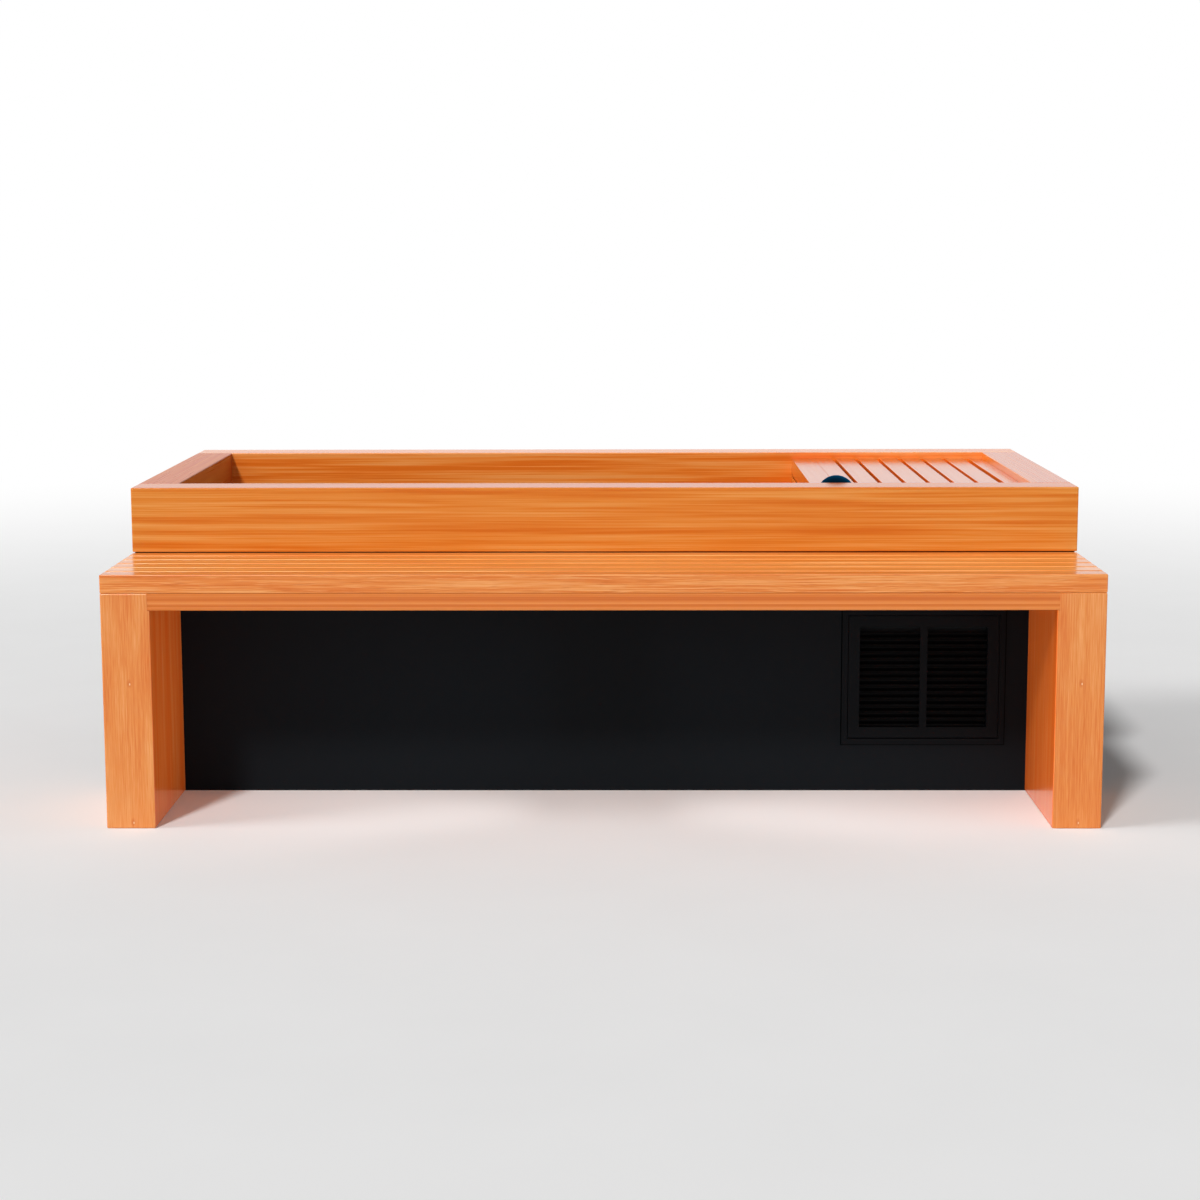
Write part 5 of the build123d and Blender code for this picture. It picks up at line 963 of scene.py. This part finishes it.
@dataclass
class Basin:
    """The stainless tray, its insulation and the fittings in it."""

    def build(self) -> list[bpy.types.Object]:
        """Dresses the basin, insulation and fittings."""
        steel = STAINLESS.build()
        white = PVC.build()
        return [dress("basin", steel), dress("drain_fitting", steel), dress("insulation_boards", FOAM.build()),
                dress("suction_fitting", white), dress("return_fitting", white)]


@dataclass
class Chiller:
    """Condenser coil, fan, compressor, heat exchanger and their copper lines on the tray."""

    fin_pitch: float = 2.4 * MM
    fin_thickness: float = 0.25 * MM
    fin_lean: float = math.radians(0.5)
    plate: float = 4.0 * MM
    coil_length: float = 290.0 * MM
    coil_height: float = 250.0 * MM
    seed: int = 11

    def fins(self) -> bpy.types.Object:
        """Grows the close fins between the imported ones, each a hair out of true."""
        low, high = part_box("condenser_coil")
        middle = (low.x + high.x) / 2
        top = high.z - 5 * MM
        count = int((self.coil_length - 2 * self.plate) / self.fin_pitch)
        rule = RuledMesh("coil_fins", {
            "Count": count, "Pitch": self.fin_pitch, "Thickness": self.fin_thickness,
            "Depth": high.y - low.y - 1 * MM, "Height": self.coil_height - 2 * MM, "Lean": self.fin_lean,
            "Left": middle - self.fin_pitch * (count - 1) / 2, "Middle": (low.y + high.y) / 2,
            "Centre": top - self.coil_height / 2, "Seed": self.seed})
        size = rule.size
        fin = rule.add("GeometryNodeMeshCube",
                       {"Size": rule.vector(size["Thickness"], size["Depth"], size["Height"])})
        row = rule.add("GeometryNodeMeshLine",
                       {"Count": size["Count"], "Start Location": rule.vector(size["Left"], size["Middle"], size["Centre"]),
                        "Offset": rule.vector(size["Pitch"])}, mode="OFFSET")
        back = rule.add("ShaderNodeMath", {0: size["Lean"], 1: -1.0}, operation="MULTIPLY")
        lean = rule.add("FunctionNodeRandomValue", {"Seed": size["Seed"]}, data_type="FLOAT")
        floats = [s for s in lean.inputs if s.enabled and s.name in ("Min", "Max")]
        rule.tree.links.new(back.outputs[0], floats[0])
        rule.tree.links.new(size["Lean"], floats[1])
        angle = next(s for s in lean.outputs if s.enabled)
        turned = rule.add("GeometryNodeInstanceOnPoints",
                          {"Points": row, "Instance": fin, "Rotation": rule.vector(0.0, 0.0, angle)})
        return seat(rule.grow(turned, FINS.build()), "tub")

    def build(self) -> list[bpy.types.Object]:
        """Grows the fins and dresses the chiller."""
        nylon = BLACK_NYLON.build()
        return [self.fins(), dress("condenser_coil", FINS.build()), dress("fan_shroud", nylon),
                dress("fan_motor", nylon), dress("fan_rotor", FAN_PLASTIC.build()),
                dress("compressor", COMPRESSOR.build()), dress("heat_exchanger", JACKET.build()),
                dress("refrigerant_lines", COPPER.build()), dress("equipment_tray", GALVANISED.build())]


@dataclass
class WaterSide:
    """Pump, filter, pipes and the drain."""

    def build(self) -> list[bpy.types.Object]:
        """Dresses the water side."""
        white = PVC.build()
        return [dress("circulation_pump", PUMP.build()), dress("filter_housing", white),
                dress("filter_cartridge", PAPER.build()), dress("filter_lid", BLACK_NYLON.build()),
                dress("water_pipes", white), dress("drain_valve", BRASS.build()),
                dress("drain_handle", VINYL.build())]


@dataclass
class Electrics:
    """The control box and the power inlet in the back panel."""

    def build(self) -> list[bpy.types.Object]:
        """Dresses the electrics."""
        return [dress("control_box", GREY_PLASTIC.build()), dress("power_inlet", BLACK_NYLON.build())]


# Studio

@dataclass
class Studio:
    """A pale floor, one soft key light from the front left, a white surround and the camera."""

    floor_radius: float = 9.0
    floor_sides: int = 96
    floor_colour: str = "#EFEFEF"
    fade_start: float = 2.2
    fade_end: float = 7.5
    key_strength: float = 2.03
    key_angle: float = math.radians(7.0)
    key_travel: tuple[float, float, float] = (0.38, 1.0, -1.0)
    side_strength: float = 1.15
    side_angle: float = math.radians(24.0)
    side_travel: tuple[float, float, float] = (1.0, 0.25, -0.72)
    under_powers: tuple[float, float] = (0.7, 0.65)
    under_size: tuple[float, float] = (0.25, 0.3)
    under_spread: float = math.radians(80.0)
    under_place: tuple[float, float, float] = (0.0, -0.49, 0.24)
    horizon_fill: float = 0.56
    zenith_fill: float = 0.08
    lens_mm: float = 73.540
    sensor_mm: float = 36.0
    camera_place: tuple[float, float, float] = (0.044966, -5.801995, 1.266270)
    camera_rows: tuple[tuple[float, float, float], ...] = (
        (0.999952, 0.009516, -0.002172), (0.000735, 0.148432, 0.988922), (-0.009733, 0.988877, -0.148418))

    def seen(self, tree: bpy.types.NodeTree) -> bpy.types.Node:
        """Adds the test for rays that see the background: direct, reflected or through glass.

        Args:
            tree: the tree that gets the nodes.

        Returns:
            The node that gives 1 for such a ray.
        """
        ray = add_node(tree, "ShaderNodeLightPath").outputs
        direct = add_node(tree, "ShaderNodeMath", {0: ray["Is Camera Ray"], 1: ray["Is Glossy Ray"]},
                          operation="MAXIMUM")
        return add_node(tree, "ShaderNodeMath", {0: direct, 1: ray["Is Transmission Ray"]}, operation="MAXIMUM")

    def floor(self) -> bpy.types.Object:
        """Makes the floor, a wide pale disc that fades to white far from the object."""
        material, tree = new_material("pale_painted_floor")
        point = add_node(tree, "ShaderNodeTexCoord").outputs["Object"]
        clouds = add_node(tree, "ShaderNodeTexNoise", {"Vector": point, "Scale": 3.0, "Detail": 3.0})
        tone = add_node(tree, "ShaderNodeMix", {0: clouds, 6: linear(self.floor_colour), 7: linear("#EBEBEB")},
                        data_type="RGBA").outputs[2]
        shader = add_node(tree, "ShaderNodeBsdfPrincipled",
                          {"Base Color": tone, "Roughness": 0.9, "Specular IOR Level": 0.0})
        reach = add_node(tree, "ShaderNodeVectorMath", {0: point}, operation="LENGTH").outputs["Value"]
        fade = add_node(tree, "ShaderNodeMapRange", {"Value": reach, "From Min": self.fade_start,
                                                     "From Max": self.fade_end}, interpolation_type="SMOOTHSTEP")
        share = add_node(tree, "ShaderNodeMath", {0: fade, 1: self.seen(tree)}, operation="MULTIPLY")
        white = add_node(tree, "ShaderNodeEmission", {"Color": (1, 1, 1, 1), "Strength": 1.0})
        both = add_node(tree, "ShaderNodeMixShader", {0: share, 1: shader, 2: white})
        add_node(tree, "ShaderNodeOutputMaterial", {"Surface": both})
        turn = 2 * HALF_TURN / self.floor_sides
        ring = [(self.floor_radius * math.cos(turn * step), self.floor_radius * math.sin(turn * step), 0.0)
                for step in range(self.floor_sides)]
        mesh = bpy.data.meshes.new("studio_floor")
        mesh.from_pydata(ring, [], [tuple(range(self.floor_sides))])
        mesh.materials.append(material)
        floor = bpy.data.objects.new("studio_floor", mesh)
        bpy.context.scene.collection.objects.link(floor)
        return floor

    def key_light(self) -> bpy.types.Object:
        """Makes the key light, a slightly soft sun."""
        lamp = bpy.data.lights.new("key_light", "SUN")
        lamp.energy = self.key_strength
        lamp.angle = self.key_angle
        key = bpy.data.objects.new("key_light", lamp)
        key.rotation_euler = Vector(self.key_travel).to_track_quat("-Z", "Y").to_euler()
        bpy.context.scene.collection.objects.link(key)
        return key

    def side_light(self) -> bpy.types.Object:
        """Makes the side light, a broad soft sun low on the left."""
        lamp = bpy.data.lights.new("side_light", "SUN")
        lamp.energy = self.side_strength
        lamp.angle = self.side_angle
        light = bpy.data.objects.new("side_light", lamp)
        light.rotation_euler = Vector(self.side_travel).to_track_quat("-Z", "Y").to_euler()
        bpy.context.scene.collection.objects.link(light)
        return light

    def under_light(self, side: float) -> bpy.types.Object:
        """Makes a small soft lamp under the bench that lights the inner face of one leg.

        Args:
            side: -1 for the left leg, 1 for the right.

        Returns:
            The lamp.
        """
        lamp = bpy.data.lights.new("under_light", "AREA")
        lamp.energy = self.under_powers[side > 0]
        lamp.shape = "RECTANGLE"
        lamp.size, lamp.size_y = self.under_size
        lamp.spread = self.under_spread
        light = bpy.data.objects.new("under_light", lamp)
        light.location = self.under_place
        light.rotation_euler = Vector((side, 0.0, 0.0)).to_track_quat("-Z", "Y").to_euler()
        light.visible_camera = False
        light.visible_glossy = False
        bpy.context.scene.collection.objects.link(light)
        return light

    def surround(self) -> None:
        """Makes the surround: white where it is seen, reflected or seen through, softer as light."""
        world = bpy.data.worlds.new("white_surround")
        world.use_nodes = True
        tree = world.node_tree
        tree.nodes.clear()
        way = add_node(tree, "ShaderNodeSeparateXYZ", {0: add_node(tree, "ShaderNodeTexCoord").outputs["Generated"]})
        level = add_node(tree, "ShaderNodeMapRange", {"Value": way.outputs["Z"], "From Min": 0.0, "From Max": 1.0,
                                                      "To Min": self.horizon_fill, "To Max": self.zenith_fill})
        fill = add_node(tree, "ShaderNodeBackground", {"Color": (1, 1, 1, 1), "Strength": level})
        white = add_node(tree, "ShaderNodeBackground", {"Color": (1, 1, 1, 1), "Strength": 1.0})
        both = add_node(tree, "ShaderNodeMixShader", {0: self.seen(tree), 1: fill, 2: white})
        add_node(tree, "ShaderNodeOutputWorld", {"Surface": both})
        bpy.context.scene.world = world

    def camera(self) -> bpy.types.Object:
        """Makes the camera at the photograph's viewpoint."""
        right, up, ahead = (Vector(row) for row in self.camera_rows)
        turn = Matrix((right, up, -ahead)).transposed().to_4x4()
        lens = bpy.data.cameras.new("photo_camera")
        lens.lens = self.lens_mm
        lens.sensor_width = self.sensor_mm
        lens.clip_end = 60.0
        camera = bpy.data.objects.new("photo_camera", lens)
        camera.matrix_world = Matrix.Translation(self.camera_place) @ turn
        bpy.context.scene.collection.objects.link(camera)
        bpy.context.scene.camera = camera
        return camera

    def build(self) -> list[bpy.types.Object]:
        """Makes the whole studio."""
        self.surround()
        bpy.context.scene.view_settings.view_transform = "Standard"
        return [self.camera(), self.floor(), self.key_light(), self.side_light(), self.under_light(-1.0),
                self.under_light(1.0)]


def main() -> None:
    """Builds the studio and every sub-assembly, and reports each piece."""
    logging.basicConfig(level=logging.INFO, format="%(message)s")
    assemblies = [Studio(), Collar(), DeckPanel(), ControlShelf(), KnobAndValve(), Skirt(), AccessGrille(),
                  Bench(), SteelFrame(), Basin(), Chiller(), WaterSide(), Electrics()]
    for assembly in assemblies:
        for piece in assembly.build():
            log.info("%s: %s", type(assembly).__name__, piece.name)


if __name__ == "__main__":
    main()
